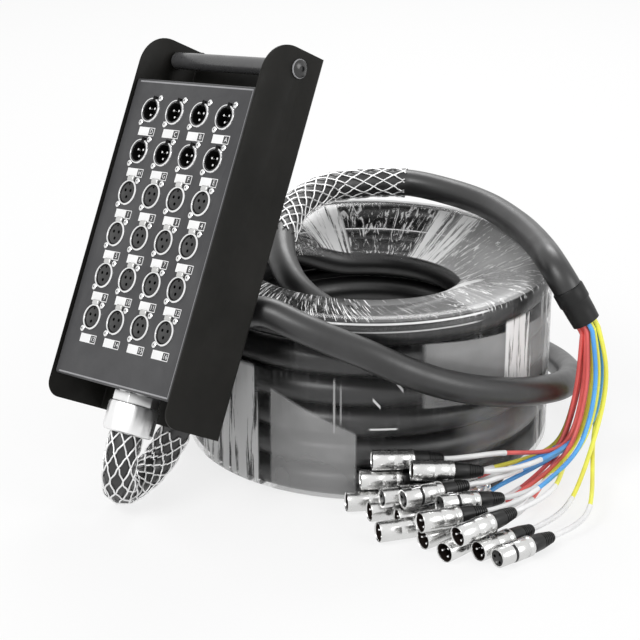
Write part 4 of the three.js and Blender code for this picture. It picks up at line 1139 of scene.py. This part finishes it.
def beside_plugs(point, own):
    """Moves a point of a lead the shortest way out of the plugs that it would cross."""
    for k, (tail, axis) in enumerate(plug_tails):
        if k == own:
            continue
        back = min(max((tail - point).dot(axis), 0), PLUG_TAIL * MM)
        apart = point - (tail - axis * back)
        need = (SHELL_ROOM if back > BOOT_PART * MM else BOOT_ROOM) * MM
        if 0 < apart.length < need:
            point = point + apart * (need / apart.length - 1)
    return Vector((point.x, point.y, max(point.z, FLOOR_ROOM * MM)))


for i, (piece, (tail, axis)) in enumerate(zip(plug_pieces, plug_tails)):
    offset, colour = seats[i]
    start = boot_end - boot_down * 2 * MM + offset * 10.5 * MM
    points = [start, start + boot_down * 10 * MM]
    points += [spot(*way) + offset * spread * MM for way, spread in zip(lead_way, lead_spread)]
    reach = tail + axis * 44 * MM
    reach.z = max(reach.z, tail.z) + (1 + 4 * offset.length) * MM
    points += [reach, tail + axis * 24 * MM, tail + axis * 8 * MM, tail]
    route = smooth_route(points, 5 * MM)
    for _ in range(EASING):
        moved = [beside_plugs(point, i) for point in route[3:-3]]
        route = route[:3] + moved + route[-3:]
        eased = [(a + b * 2 + c) / 4 for a, b, c in zip(route, route[1:], route[2:])]
        route = route[:3] + eased[2:-2] + route[-3:]
    lead = round_curve(f"lead_{i + 1:02d}", [route], LEAD / 2 * MM, colour, 3)
    covered = frames_along(route, length_of(route) - SLEEVE_LENGTH * MM, length_of(route), 20)
    sleeve = round_curve(f"sleeve_{i + 1:02d}", [[point for point, *_ in covered]],
                         (LEAD + 0.9) / 2 * MM, white_sleeve, 3)
    if i == 0:
        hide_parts("fan_leads")
print(len(plug_pieces), "leads")

# %% Length of the thick cable
thick = sum(length_of(points) for points in (box_tail_points, coil_points, fan_tail_points))
print("thick cable in all", round(thick, 2), "m")

# %% [markdown]
# ## Light and ground
# The photograph is a cut-out on white. A light path node tells what the camera, a mirror
# or a clear piece sees from what lights the object, so the world is plain white to them
# and only a mild lamp to the rest. The floor is mostly white to them and partly a real
# surface, so it keeps a soft shadow.


# %% Light and ground
def seen_directly(owner):
    """A socket that is 1 for rays from the camera, a glossy or a clear surface."""
    seen = add_node(owner, "LightPath", out="Is Camera Ray")
    for ray in ("Is Glossy Ray", "Is Transmission Ray"):
        seen = add_node(owner, "Math", seen, add_node(owner, "LightPath", out=ray), operation="MAXIMUM")
    return seen


floor = bpy.data.meshes.new("ground")
bm = bmesh.new()
bmesh.ops.create_grid(bm, x_segments=1, y_segments=1, size=6)
bm.to_mesh(floor)
bm.free()
ground = placed("ground", floor)
ground.location = (0, 0, -0.4 * MM)
# a sheet of matt white paper, as wide as the view
ground_white, ground_shader = new_finish("matt_white_paper", "#f7f7f7", 0.8)
floor.materials.append(ground_white)
WHITE_SHARE = 0.78
share = add_node(ground_white, "Math", seen_directly(ground_white), WHITE_SHARE, operation="MULTIPLY")
add_node(ground_white, "MixShader", share, ground_shader.outputs[0], add_node(ground_white, "Emission"),
         to=ground_white.node_tree.nodes["Material Output"].inputs["Surface"])

world = bpy.data.worlds.new("studio")
bpy.context.scene.world = world
world.use_nodes = True
background = world.node_tree.nodes["Background"]
background.inputs["Color"].default_value = (1, 1, 1, 1)
background.inputs["Strength"].default_value = 0.5
add_node(world, "MixShader", seen_directly(world), background.outputs[0],
         add_node(world, "Background", Color=(1, 1, 1, 1)),
         to=world.node_tree.nodes["World Output"].inputs["Surface"])


lamps = {
    "key": ((-1.4, -1.6, 2.2), 1.2, 34),
    "fill": ((1.9, -1.2, 1.3), 1.4, 16),
    "back": ((0.3, 1.8, 1.9), 1.2, 20),
}
for name, (place, size, power) in lamps.items():
    lamp = bpy.data.lights.new(name, "AREA")
    lamp.shape, lamp.size, lamp.energy = "DISK", size, power
    holder = placed(name, lamp)
    holder.location = place
    holder.rotation_euler = (Vector((0, 0, 0.15)) - Vector(place)).to_track_quat("-Z", "Y").to_euler()
print("lamps", list(lamps))
